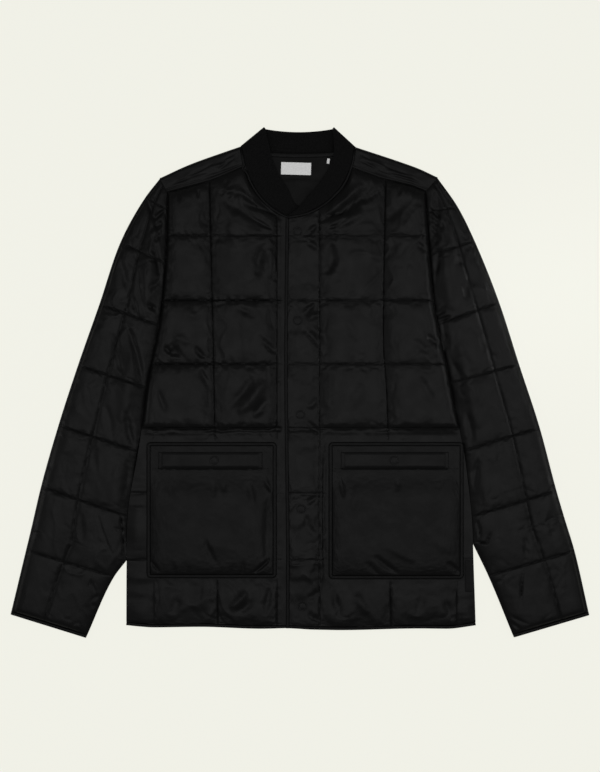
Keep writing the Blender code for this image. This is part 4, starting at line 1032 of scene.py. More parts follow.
class ClothBench:
    """Where the panels swell: a cloth simulation, with every sewn point held."""

    SCALE = 0.1
    FRAMES = 24
    STIFFNESS = 40.0
    BENDING = 0.8
    SEED = 11
    LUMPS = 46.0
    EASE = 2.2
    SWELL = 1.4
    DRIFT = 1.6

    def __init__(self, cloths: list) -> None:
        """Puts these panels on the bench."""
        self.cloths = cloths
        self.draw = np.random.default_rng(self.SEED)

    def weigh(self, sheet: Thing, name: str, weights: Array, above: float) -> None:
        """Gives the sheet's points these weights, in a group of this name, where they are above a limit.

        Args:
            sheet: The sheet.
            name: The group's name.
            weights: A weight for each of its points.
            above: The limit.
        """
        group = sheet.vertex_groups.new(name=name)
        for weight in np.unique(weights):
            if weight > above:
                group.add(np.flatnonzero(weights.ravel() == weight).tolist(), float(weight), "REPLACE")

    def lay(self, cloth: Cloth) -> Thing:
        """Makes a panel's outside a sheet with a live cloth modifier.

        Args:
            cloth: The panel.

        Returns:
            The sheet, in the scene.
        """
        rows, columns = cloth.outside.shape[:2]
        start = cloth.outside.copy()
        start[..., 2] += self.draw.uniform(-0.25, 0.25, (rows, columns)) * (1 - cloth.sewn)
        faces = grid_faces(0, rows, columns)
        down, along = start[-1, -2] - start[0, -2], start[0, -1] - start[0, -2]
        if np.cross(along[:2], down[:2]) < 0:
            faces = faces[:, ::-1]
        mesh = bpy.data.meshes.new(cloth.name + "_sheet")
        mesh.from_pydata((start.reshape(-1, 3) * self.SCALE).tolist(), [], faces.tolist())
        sheet = link(bpy.data.objects.new(cloth.name + "_sheet", mesh))
        lumps = unevenness(cloth.outside[..., 0], cloth.outside[..., 1], self.LUMPS, 3.0)
        self.weigh(sheet, "sewn", np.round(cloth.sewn, 2), 0.0)
        self.weigh(sheet, "full", np.round(np.clip(0.5 + lumps, 0, 1), 1), -1.0)
        self.set_up(sheet, cloth)
        return sheet

    def set_up(self, sheet: Thing, cloth: Cloth) -> None:
        """Gives the sheet its cloth settings.

        Args:
            sheet: The sheet.
            cloth: The cloth that it stands for.
        """
        modifier = sheet.modifiers.new("cloth", "CLOTH")
        settings = modifier.settings
        settings.quality = 5
        settings.mass = 0.3
        settings.tension_stiffness = settings.compression_stiffness = self.STIFFNESS
        settings.shear_stiffness = self.STIFFNESS / 3
        settings.bending_stiffness = self.BENDING
        settings.air_damping = 2.0
        settings.vertex_group_mass = "sewn"
        settings.use_pressure = True
        settings.uniform_pressure_force = cloth.pressure
        settings.shrink_min, settings.shrink_max = (-part for part in cloth.fullness)
        settings.vertex_group_shrink = "full"
        settings.effector_weights.gravity = 0.0
        modifier.collision_settings.use_collision = False
        modifier.point_cache.frame_start = 1
        modifier.point_cache.frame_end = self.FRAMES

    def settle(self) -> None:
        """Runs the simulation once for all the panels and keeps what each one swells to."""
        sheets = [self.lay(cloth) for cloth in self.cloths]
        for step in range(1, self.FRAMES + 1):
            bpy.context.scene.frame_set(step)
        depsgraph = bpy.context.evaluated_depsgraph_get()
        for cloth, sheet in zip(self.cloths, sheets):
            evaluated = sheet.evaluated_get(depsgraph)
            swollen = evaluated.to_mesh()
            places = np.empty(len(swollen.vertices) * 3, np.float32)
            swollen.vertices.foreach_get("co", places)
            evaluated.to_mesh_clear()
            self.keep(cloth, places.reshape(cloth.outside.shape).astype(float) / self.SCALE)
        for sheet in sheets:
            bpy.data.meshes.remove(sheet.data)
        bpy.context.scene.frame_set(1)

    def keep(self, cloth: Cloth, places: Array) -> None:
        """Takes a panel's new places, with each move eased off at its limits.

        Args:
            cloth: The panel, whose outside is changed.
            places: Where the simulation left its points.
        """
        move = places - cloth.outside
        LOG.info("%s swells by %.1f mm", cloth.name, move[..., 2].max())
        move[..., :2] = self.DRIFT * np.tanh(move[..., :2] / self.DRIFT)
        move[..., 2] = self.SWELL * np.tanh(move[..., 2] / self.SWELL / self.EASE)
        move *= ((cloth.sewn < 0.99) * cloth.liveliness)[..., None]
        cloth.outside = cloth.outside + move
        cloth.outside[..., 2] = np.maximum(cloth.outside[..., 2], cloth.least)


def sewn_lines(shape: tuple, rows: list, columns: list) -> Array:
    """1 along a grid's edges and along these rows and columns of it, 0 elsewhere.

    Args:
        shape: The grid's rows and columns.
        rows: The rows that are sewn.
        columns: The columns that are sewn.

    Returns:
        How firmly each point is held.
    """
    held = np.zeros(shape)
    held[[0, -1, *rows]] = 1
    held[:, [0, -1, *columns]] = 1
    return held


class StitchRuns:
    """Runs of stitches, gathered into one piece for each part of the jacket."""

    LENGTH = 2.5
    PITCH = 3.3
    RADIUS = 0.28
    SINK = 0.05
    RINGS = ((-0.5, 0.35), (-0.28, 1.0), (0.28, 1.0), (0.5, 0.35))

    def __init__(self, name: str) -> None:
        """Starts an empty piece of this name.

        Args:
            name: The piece's name.
        """
        self.name = name
        self.points: list = []
        self.faces: list = []

    def sew(self, path: Array, lift: float = 0.0) -> None:
        """Adds a run of stitches.

        Args:
            path: Points on the cloth along the run, in millimetres.
            lift: How far above them the thread lies.
        """
        path = np.asarray(path, float)
        along = travelled(path)
        for centre in np.arange(self.PITCH / 2, along[-1], self.PITCH):
            ends = (centre - self.LENGTH / 2, centre + self.LENGTH / 2)
            start, end = (np.array([np.interp(at, along, column) for column in path.T]) for at in ends)
            self.add_stitch(start, end, lift)

    def add_stitch(self, start: Array, end: Array, lift: float) -> None:
        """Adds one stitch, a four-sided bead that sinks at both ends.

        Args:
            start, end: Where the thread goes into the cloth.
            lift: How far above them it lies.
        """
        middle, run = (start + end) / 2, end - start
        length = np.linalg.norm(run)
        if length < self.LENGTH / 4:
            return
        across = np.array([-run[1], run[0], 0.0])
        across /= max(np.linalg.norm(across), 1e-6)
        first = len(self.points)
        for place, width in self.RINGS:
            centre = middle + run * place
            centre[2] += lift - self.SINK + self.RADIUS * (width - 0.6)
            reach = self.RADIUS * width
            up = np.array([0.0, 0.0, reach])
            self.points += [centre + across * reach, centre + up, centre - across * reach, centre - up]
        rings = np.arange(first, len(self.points)).reshape(-1, 4)
        self.faces += [*band_faces(rings[:-1], rings[1:]), rings[0, ::-1].tolist(), rings[-1].tolist()]

    def build(self) -> None:
        """Makes the piece from all its stitches."""
        points = np.array(self.points)
        add_piece(self.name, mesh_from(points, self.faces, points[:, :2]), Finishes.THREAD)


@dataclass
class Tape:
    """A soft bar of folded tape along a path."""

    name: str
    node: str
    path: Array
    width: float
    height: Array
    closed: bool = False
    ripple: float = 0.18
    spacing: float = 2.2
    PROFILE = (
        (-0.5, 0.3), (-0.44, 0.08), (-0.34, 0.0), (0.34, 0.0), (0.44, 0.08), (0.5, 0.3), (0.5, 0.5), (0.44, 0.76),
        (0.34, 0.93), (0.2, 0.95), (0.08, 1.0), (-0.08, 1.0), (-0.2, 0.95), (-0.34, 0.93), (-0.44, 0.76), (-0.5, 0.5),
    )

    def laid(self) -> tuple:
        """The path and the heights, closely and evenly placed.

        Returns:
            What the tape is built along.
        """
        path = np.column_stack([self.path, np.broadcast_to(self.height, len(self.path))])
        if self.closed:
            path = np.concatenate([path, path[:1]])
        along = travelled(path[:, :2])
        count = max(8, round(along[-1] / self.spacing))
        if self.closed:
            at = np.linspace(0, along[-1], count, endpoint=False)
            path = np.stack([np.interp(at, along, column) for column in path.T], axis=1)
        else:
            path = run_through(path, count)
        return path[:, :3], path[:, 3]

    def build(self, stitches: StitchRuns | None = None, rows: tuple = ()) -> None:
        """Makes the bar.

        Args:
            stitches: Where to add the thread of its stitched lines.
            rows: The shares of its width at which a line is stitched.
        """
        path, heights = self.laid()
        if self.closed:
            along = np.roll(path, -1, axis=0) - np.roll(path, 1, axis=0)
        else:
            along = np.gradient(path, axis=0)
        across = np.stack([-along[:, 1], along[:, 0]], axis=1)
        across /= np.linalg.norm(across, axis=1)[:, None]
        uneven = unevenness(path[:, 0], path[:, 1], 9.0, 5.0)
        rings = []
        for out, up in self.PROFILE:
            plan = path[:, :2] + across * out * self.width
            lift = self.ripple * uneven * (up > 0.5)
            rings.append(np.column_stack([plan, path[:, 2] + up * heights + lift]))
        rings = np.stack(rings, axis=1)
        count, sides = rings.shape[:2]
        index = np.arange(count * sides).reshape(count, sides)
        if self.closed:
            faces = band_faces(index, np.roll(index, -1, axis=0))
        else:
            faces = [*band_faces(index[:-1], index[1:]), index[0].tolist(), index[-1].tolist()]
        round_it = np.arange(sides) * self.width * 2 / sides
        flat = np.stack(np.meshgrid(round_it, travelled(path[:, :2])), axis=2).reshape(-1, 2)
        add_piece(self.name, mesh_from(rings.reshape(-1, 3), faces, flat), Finishes.BINDING, self.node)
        for share in rows:
            line = np.column_stack([path[:, :2] + across * share * self.width, path[:, 2] + heights * 0.93])
            if self.closed:
                line = np.concatenate([line, line[:1]])
            stitches.sew(line, 0.06)


# ---- the fronts


@dataclass(frozen=True)
class Upright:
    """An upright quilting line, by the X it has at some heights up the front."""

    ys: tuple
    xs: tuple

    def x(self, y: Array) -> Array:
        """The line's X at y."""
        return smooth(y, self.ys, self.xs)


@dataclass(frozen=True)
class PatchPocket:
    """Where a patch pocket lies, with its welt and the snap on it."""

    side: Side
    x0: float
    x1: float
    y0: float
    y1: float
    welt_x0: float
    welt_x1: float
    snap_x: float

    def away(self, x: Array, y: Array) -> Array:
        """How far each place lies outside the pocket."""
        return from_rectangle(x, y, self.x0, self.x1, self.y0, self.y1)

    def from_welt(self, x: Array, y: Array) -> Array:
        """How far each place lies outside the welt."""
        return from_rectangle(x, y, self.welt_x0, self.welt_x1, WELT_FOOT, WELT_TOP)


POCKETS = {
    Side.RIGHT: PatchPocket(Side.RIGHT, -225, -34.2, -286.5, -87, -207.5, -55, -125.8),
    Side.LEFT: PatchPocket(Side.LEFT, 42, 240, -288, -87, 60, 218, 138.5),
}
WELT_FOOT, WELT_TOP = -126.0, -101.5
FRONT_SNAPS = ((-3.7, 222), (-3.5, 91), (0.6, -46.7), (1.8, -185), (3.8, -327.7))
SIDE_TAB = (242.1, 253.1, -306.5, -260.5)


@dataclass
class Front:
    """One quilted front."""

    side: Side
    pattern: Pattern
    spacing: float = 3.7
    puff_height: float = 8.2
    pull: float = 0.35
    upright_pull: float = 1.0
    pull_reach: float = 1.1
    gather: float = 1.3
    gather_reach: float = 4.5
    gather_size: float = 5.0
    crumple_height: float = 1.1
    crease_gain: float = 1.7
    snap_flat: float = 9.0
    snap_rise: float = 22.0
    hem_puff: float = 0.35
    neck_lift_y: tuple = (121.0, 202.0)
    neck_lift_x: tuple = (95.0, 135.0)
    lap_x: tuple = (17.0, 38.0)
    outer_fade: tuple = (-90.0, -62.0)
    outer_inset: float = 8.0

    def __post_init__(self) -> None:
        """Lays out the grid and the start of its outside."""
        left = self.side is Side.LEFT
        hem, yoke = -350.0, 290.0
        if left:
            self.mid = Upright((hem, -30.0, 70.0, 131.0, yoke), (133.5, 128.0, 122.2, 122.6, 125.5))
            self.soft = Upright((hem, yoke), (28.6, 28.6))
            self.outer = Upright((hem, yoke), (231.0, 231.0))
        else:
            self.mid = Upright((hem, 70.0, yoke), (-120.5, -127.5, -132.5))
            self.soft = Upright((hem, yoke), (-34.0, -34.0))
            self.outer = Upright((hem, yoke), (-214.6, -219.0))
        pulls = (0.3, 0.8, 0.8, 1.2, 1.0, 1.0) if left else (0.7, 2.4, 1.9, 2.4, 2.2, 2.2)
        self.line_pull = dict(zip(self.pattern.quilt_y, pulls))
        self.pocket = POCKETS[self.side]
        self.pocket_step = (9.0, 29.0) if left else (8.0, 29.0)
        self.top_x, self.top_y = self.top_edge()
        self.lay_out()

    def top_edge(self) -> tuple:
        """The yoke's seam from the armhole to the neck, then the edge that the neck binding covers.

        Returns:
            The edge's X and its Y, in order of X.
        """
        pattern = self.pattern
        seam = pattern.yoke_seam_left if self.side is Side.LEFT else pattern.yoke_seam_right
        neck = pattern.neck_edge(self.side, 80)
        neck = neck[neck[:, 1] < seam[-1][1]]
        edge = np.concatenate([[(x, y - pattern.seam_gap) for x, y in seam], neck])
        return tuple(edge[np.argsort(edge[:, 0])].T)

    def top_at(self, x: Array) -> Array:
        """The Y of the front's top edge at x."""
        return np.interp(x, self.top_x, self.top_y)

    def outer_x(self, y: Array) -> Array:
        """The outermost upright line, kept inside the armhole where the body narrows.

        Args:
            y: Places up the front.

        Returns:
            The line's X at each.
        """
        inset = self.pattern.side_x(self.side, y) - self.side.sign * self.outer_inset
        pick = np.maximum if self.side is Side.RIGHT else np.minimum
        return pick(self.outer.x(y), inset)

    def key_lines(self, y: Array) -> Array:
        """The X of the kept lines at y, from the side seam to the front edge.

        Args:
            y: Places up the front.

        Returns:
            A row of X values for each kept line.
        """
        pattern = self.pattern
        side_x = pattern.side_x(self.side, y) - self.side.sign * pattern.armhole_gap / 2
        lines = [side_x, self.outer_x(y), self.mid.x(y), self.soft.x(y)]
        if self.side is Side.RIGHT:
            lines += [pattern.front_edge_x(y), np.full_like(y, pattern.underlap_end)]
        else:
            lines += [pattern.front_edge_x(y) + pattern.binding_width / 2 + pattern.seam_gap]
        return np.array(lines)

    def lay_out(self) -> None:
        """Places the grid: its plan, its sewn points, its inside and the start of its outside."""
        pattern = self.pattern
        keys = self.key_lines(np.array([0.0]))[:, 0]
        spans, shares = spread(list(keys), self.spacing)
        self.outer_column, self.mid_column, self.soft_column = (first_of(spans, k) for k in (1, 2, 3))

        def column_x(y: Array) -> Array:
            """Spreads the columns between the key lines.

            Args:
                y: One height for each column.

            Returns:
                The columns' x at those heights.
            """
            lines = self.key_lines(y)
            pick = np.arange(len(spans))
            start, end = lines[spans, pick], lines[spans + 1, pick]
            return start + (end - start) * shares

        top = self.top_at(column_x(np.full(len(spans), pattern.yoke_back_seam_y)))
        top = self.top_at(column_x(top))
        foot = pattern.hem_y(column_x(np.full(len(spans), pattern.upright_foot)))
        foot = foot + pattern.binding_width + pattern.seam_gap
        marks = np.array([top, *[np.full_like(top, y) for y in pattern.quilt_y], foot])
        row_spans, row_shares = spread(list(marks[:, self.mid_column]), self.spacing)
        self.level_rows = [first_of(row_spans, k) for k in range(1, len(marks) - 1)]
        y = part_way(marks, row_spans, row_shares[:, None])
        x = np.array([column_x(row) for row in y])
        inside_z = self.inside_z(x, y)
        folds = self.crease_gain * crease_rise(FRONT_CREASES, x, y) * self.loose(x, y)
        least = inside_z + 0.55 * self.wall(x)
        self.inside = at_height(x, y, inside_z)
        outside = at_height(x, y, np.maximum(inside_z + self.wall(x) + self.puff(x, y) + folds, least))
        held = sewn_lines(x.shape, self.level_rows, [self.mid_column])
        shown = 1 - ramp(y[:, self.outer_column], *self.outer_fade)
        held[:, self.outer_column] = np.maximum(held[:, self.outer_column], shown)
        held[:, self.soft_column] = 1
        held[(y < pattern.quilt_y[3]) & (y > self.pocket.y1) & (self.pocket.away(x, y) < 24)] = 1
        held = np.maximum(held, 1 - self.loose(x, y))
        self.cloth = Cloth(f"quilted_front_{self.side.word}", outside, self.inside, held, least)

    def inside_z(self, x: Array, y: Array) -> Array:
        """The height of the inside, over the lining and over the other front.

        Args:
            x, y: Places in the plan.

        Returns:
            The inside's height at each place.
        """
        pattern = self.pattern
        lift = pattern.lining_thick + pattern.layer_gap
        lifted = lift * ramp(y, *self.neck_lift_y) * (1 - ramp(np.abs(x), *self.neck_lift_x))
        if self.side is Side.LEFT:
            lifted += (pattern.underlap_wall + pattern.layer_gap) * (1 - ramp(x, *self.lap_x))
        return pattern.front_inside + lifted

    def wall(self, x: Array) -> Array:
        """How thick the cloth is where it is sewn down."""
        under = (x > self.pattern.lap_zone) & (self.side is Side.RIGHT)
        return np.where(under, self.pattern.underlap_wall, self.pattern.panel_wall)

    def binding_height(self, x: Array) -> Array:
        """A binding's height, low enough under the lap to leave the left front room."""
        thin = self.wall(x) < self.pattern.panel_wall
        return np.where(thin, self.pattern.underlap_wall, self.pattern.binding_height)

    def loose(self, x: Array, y: Array) -> Array:
        """0 where something lies on the cloth or presses it down, 1 where it is free to swell.

        Args:
            x, y: Places in the plan.

        Returns:
            How free each place is.
        """
        free = eased(self.pocket.away(x, y), 2.0, 7.0)
        if self.side is Side.LEFT:
            for snap_x, snap_y in FRONT_SNAPS:
                free *= eased(np.hypot(x - snap_x, y - snap_y), 8.0, 13.0)
            free *= eased(from_rectangle(x, y, *SIDE_TAB), 1.0, 5.0)
        else:
            free *= x <= self.pattern.lap_zone
        return free

    def puff(self, x: Array, y: Array) -> Array:
        """How far the padding lifts the outside before it swells.

        Args:
            x, y: Places in the plan.

        Returns:
            The padding's rise over the wall.
        """
        pattern = self.pattern
        left = np.full_like(x, self.puff_height)
        for level in pattern.quilt_y:
            pull = self.line_pull[level]
            if level == pattern.quilt_y[3]:
                left *= quilted(y - level, 0.08, 0.0)
            else:
                left *= quilted(level - y, 0.1 * pull, 0.05 + 0.13 * pull, near=0.5 + 0.8 * pull)
        outward = self.side.sign * (x - self.mid.x(y))
        left *= quilted(outward, 0.1, 0.74, 13.0, 60.0)
        outward = self.side.sign * (x - self.soft.x(y))
        left *= quilted(outward, 0.12, 0.9, 12.0, 260.0, near=3.0)
        shown = 1 - ramp(y, *self.outer_fade)
        outward = self.side.sign * (x - self.outer_x(y))
        left *= quilted(outward, 0.1 * shown, 0.4 * shown)
        left *= quilted(x - pattern.side_x(self.side, y), 0.0, 1.0, 3.2, 3.2)
        left *= groove(self.top_at(x) - y, pattern.seam_reach)
        left *= groove(y - pattern.hem_y(x) - pattern.binding_width, pattern.seam_reach)
        left *= groove(x - pattern.front_edge_x(y) - pattern.binding_width / 2, pattern.seam_reach)
        away = self.pocket.away(x, y)
        above = eased(away, *self.pocket_step)
        left *= np.where(y < self.pocket.y0, self.hem_puff * eased(away, 4.0, 30.0), above)
        if self.side is Side.LEFT:
            for snap_x, snap_y in FRONT_SNAPS:
                away = np.hypot(x - snap_x, y - snap_y)
                left *= eased(away, self.snap_flat, self.snap_flat + self.snap_rise)
        else:
            left *= x <= pattern.lap_zone
        return left

    def detail(self, x: Array, y: Array) -> Array:
        """What the stitching does to the finished outside: each line pulled in, with small gathers beside it.

        Args:
            x, y: Places in the plan.

        Returns:
            The change of height.
        """
        change = np.zeros_like(x)
        ripple = unevenness(x, y * 0.35, self.gather_size, 9.0)
        for level, strength in self.line_pull.items():
            away = np.abs(y - level)
            change -= self.pull * strength**0.5 * dip(away, self.pull_reach)
            if level == self.pattern.quilt_y[3]:
                off = y - level + 2.6 + 2.2 * unevenness(x, y * 0.3, 12.0, 27.0)
                change -= strength * (1 + 0.7 * ripple) * dip(off, 3.0)
            change += self.gather * 0.6 * strength**1.4 * ripple * np.exp(-away / self.gather_reach) * (away > 0.5)
        change += self.crumple_height * (crumple(x, y, 26.0, 101.0) - crumple(x, y, 15.0, 111.0) * 0.7)
        upright_ripple = unevenness(x * 0.35, y, self.gather_size, 17.0)
        shown = 1 - ramp(y, *self.outer_fade)
        for line_x, strength in ((self.mid.x(y), 1.0), (self.outer_x(y), shown), (self.soft.x(y), 0.9)):
            away = np.abs(x - line_x)
            change -= self.upright_pull * strength * dip(away, self.pull_reach)
            change += 0.5 * self.gather * strength * upright_ripple * np.exp(-away / self.gather_reach)
        return change * self.loose(x, y)

    def build(self) -> None:
        """Makes the piece from its swollen cloth, with its stitches."""
        outside = doubled(self.cloth.outside)
        x, y = outside[..., 0], outside[..., 1]
        inner = 1 - sewn_lines(x.shape, [], [])
        floor = self.inside_z(x, y) + 0.3 * self.wall(x)
        outside[..., 2] = np.maximum(outside[..., 2] + self.detail(x, y) * inner, floor)
        word = self.side.word
        add_piece(self.cloth.name, closed_wall(outside, self.inside), Finishes.SHELL, f"front_{word}")
        stitches = StitchRuns(f"stitches_front_{word}")
        for row in self.level_rows:
            self.sew(stitches, outside[2 * row])
        self.sew(stitches, outside[:, 2 * self.mid_column])
        column = outside[:, 2 * self.outer_column]
        self.sew(stitches, column[column[:, 1] < self.outer_fade[0]])
        self.sew(stitches, outside[2], lift=0.05)
        stitches.build()

    def sew(self, stitches: StitchRuns, line: Array, lift: float = 0.1) -> None:
        """Adds stitches along a line of the grid, where nothing covers it.

        Args:
            stitches: Where the thread goes.
            line: The line's points.
            lift: How far above them the thread lies.
        """
        shown = self.pocket.away(line[:, 0], line[:, 1]) > 1.0
        if self.side is Side.RIGHT:
            shown &= line[:, 0] < self.pattern.lap_zone + 4.0
        for run in np.split(np.arange(len(line)), np.flatnonzero(np.diff(shown.astype(int))) + 1):
            if shown[run[0]] and len(run) > 3:
                stitches.sew(line[run], lift)


# ---- the pockets


@dataclass
class Pocket:
    """A padded patch pocket, the binding round it, its welt and the stitching."""

    place: PatchPocket
    pattern: Pattern
    wall: float = 2.4
    puff_height: float = 6.0
    binding_width: float = 5.8
    binding_height: float = 4.4
    corner: float = 6.0
    rise: float = 45.0
    welt_thick: float = 2.0
    welt_margin: float = 3.0
    spacing: float = 3.4
    crease_gain: float = 1.4
    flattened: float = 0.25

    def __post_init__(self) -> None:
        """Lays out the patch's grid."""
        pattern, place = self.pattern, self.place
        self.base = pattern.front_inside + pattern.panel_wall + pattern.layer_gap
        inset = self.binding_width + pattern.seam_gap
        x0, x1 = place.x0 + inset, place.x1 - inset
        y0, y1 = place.y0 + inset, place.y1 - inset
        across, down = np.array([x0, x1]), np.array([y1, WELT_TOP, WELT_FOOT, y0])
        spans, shares = spread(down, self.spacing)
        self.foot_row = first_of(spans, 2)
        x, y = np.meshgrid(part_way(across, *spread(across, self.spacing)), part_way(down, spans, shares))
        rise = np.full_like(x, self.puff_height)
        for distance in (x - x0, x1 - x, y - y0, y1 - y):
            rise *= quilted(distance, 0.2, 0.6, 10.0)
        rise *= quilted(WELT_FOOT - y, 0.05, 0.15)
        away = place.from_welt(x, y)
        rise *= eased(away, self.welt_margin, self.welt_margin + self.rise)
        free = eased(away, 0.5, 4.0)
        folds = self.crease_gain * crease_rise(POCKET_CREASES, x, y) * free * np.minimum(1, rise / 2.0)
        least = np.full_like(x, self.base + 0.5 * self.wall)
        z = np.maximum(self.base + self.wall + rise + folds, least)
        self.inside = at_height(x, y, self.base)
        held = np.maximum(sewn_lines(x.shape, [], []), 1 - free)
        held[self.foot_row] = 1
        z = z - (z - self.base - self.wall) * self.flattened
        name = f"patch_pocket_{place.side.word}"
        self.cloth = Cloth(name, at_height(x, y, z), self.inside, held, least, (0.002, 0.012), 0.06)

    def build(self) -> None:
        """Makes the patch, its binding and its welt."""
        place, word = self.place, self.place.side.word
        outside = doubled(self.cloth.outside)
        x, y = outside[..., 0], outside[..., 1]
        away = np.abs(y - WELT_FOOT)
        beside = place.from_welt(x, y) > 0.5
        ripple = unevenness(x, y * 0.4, 7.0, 21.0)
        under = (x > place.welt_x0 - 1.0) & (x < place.welt_x1 + 1.0)
        change = 0.3 * ripple * np.exp(-away / 7.0) - 0.7 * dip(away, 1.6) * under
        edge = from_border(x, y)
        ruffle = 0.35 * unevenness(x, y, 8.0, 31.0) * np.exp(-edge / 8.0) * (edge > 1)
        change = change * eased(edge, 0.0, 4.0) + ruffle
        outside[..., 2] = np.maximum(outside[..., 2] + change * beside, self.base + 0.4 * self.wall)
        add_piece(self.cloth.name, closed_wall(outside, self.inside), Finishes.POCKET, f"pocket_{word}")
        stitches = StitchRuns(f"stitches_pocket_{word}")
        row = outside[2 * self.foot_row]
        stitches.sew(row[np.abs(row[:, 0] - row[:, 0].mean()) < np.ptp(row[:, 0]) / 2 - 2], 0.1)
        self.binding().build(stitches, (-0.33, 0.33))
        self.build_welt(stitches)
        stitches.build()

    def binding(self) -> Tape:
        """The tape round the pocket.

        Returns:
            The tape, not yet built.
        """
        place, half = self.place, self.binding_width / 2
        corners = (
            (place.x1 - half, place.y1 - half, 0.0), (place.x0 + half, place.y1 - half, 90.0),
            (place.x0 + half, place.y0 + half, 180.0), (place.x1 - half, place.y0 + half, 270.0),
        )
        radius, path = self.corner - half, []
        for corner_x, corner_y, start in corners:
            middle = math.radians(start + 45)
            centre_x = corner_x - math.copysign(radius, math.cos(middle))
            centre_y = corner_y - math.copysign(radius, math.sin(middle))
            for turn in np.radians(start + np.linspace(0, 90, 10)):
                path.append((centre_x + radius * math.cos(turn), centre_y + radius * math.sin(turn), self.base))
        word, sizes = place.side.word, (self.binding_width, self.binding_height)
        return Tape(f"pocket_tape_{word}", f"pocket_binding_{word}", np.array(path), *sizes, closed=True, spacing=1.8)

    def build_welt(self, stitches: StitchRuns) -> None:
        """The welt over the pocket's mouth: a strip with rolled edges, stitched all round.

        Args:
            stitches: Where to add the thread of its stitched lines.
        """
        place, pattern = self.place, self.pattern
        base = self.base + self.wall + pattern.layer_gap
        rim = np.array([0.0, 0.5, 1.4])
        along, across = (
            np.concatenate([rim, np.linspace(3.2, length - 3.2, count), length - rim[::-1]])
            for length, count in ((place.welt_x1 - place.welt_x0, 68), (WELT_TOP - WELT_FOOT, 9))
        )
        x, y = np.meshgrid(place.welt_x0 + along, WELT_FOOT + across)
        edge, end = from_border(x, y), np.minimum(x - x.min(), x.max() - x)
        roll = 1 - np.exp(-edge / 0.7)
        height = self.welt_thick * (0.35 + 0.65 * roll) - 1.2 * dip(end - 3.0, 1.6) * roll
        height -= 0.8 * dip(edge - 1.3, 0.9) * (end > 5.0)
        height += 0.22 * unevenness(x, y, 11.0, 41.0) * ramp(edge, 2, 5)
        pressed = np.hypot(x - place.snap_x, y - (WELT_TOP + WELT_FOOT) / 2)
        height = np.where(pressed < 8.0, self.welt_thick, height)
        word, mesh = place.side.word, even_wall(at_height(x, y, base + height), at_height(x, y, base))
        add_piece(f"welt_{word}", mesh, Finishes.POCKET, f"pocket_welt_{word}")
        inset = 1.3
        left, right = place.welt_x0 + inset, place.welt_x1 - inset
        foot, top = WELT_FOOT + inset, WELT_TOP - inset
        level = base + self.welt_thick - 0.7
        corners = ((left, top), (right, top), (right, foot), (left, foot), (left, top))
        for start, end in zip(corners, corners[1:]):
            stitches.sew(np.linspace((*start, level), (*end, level), 8), 0.05)


# ---- the sleeves


@dataclass(frozen=True)
class SleeveRing:
    """A line round a sleeve: its outer and inner ends, and whether a quilting line runs on it.

    Above the underarm the inner end lies on the armhole, so no X is given for it.
    """

    outer_x: float
    outer_y: float
    inner_x: float | None
    inner_y: float
    stitched: bool


SLEEVE_RINGS = {
    Side.RIGHT: (
        (-205.1, 300.7, None, 279.8, False), (-228, 271, None, 254, True),
        (-264, 205.5, None, 175, True), (-294.6, 115.5, None, 84, True),
        (-326, 26, None, -8, True), (-354.6, -62, None, -101, True),
        (-380.2, -152, None, -196, True), (-395.4, -217, -254.6, -260.5, False),
        (-402.2, -245, -272.8, -284.5, True), (-425, -340, -314.3, -374.4, False),
    ),
    Side.LEFT: (
        (201.4, 301.6, None, 281.2, False), (232, 257.8, None, 250, True),
        (256.6, 208, None, 188, True), (292.5, 118, None, 86, True),
        (321.6, 27.6, None, 0, True), (352, -65.6, None, -99.5, True),
        (376.6, -158, None, -196, True), (388, -197, 253.8, -236, False),
        (403, -246, 276.4, -283, True), (424.8, -341, 314, -373.8, False),
    ),
}


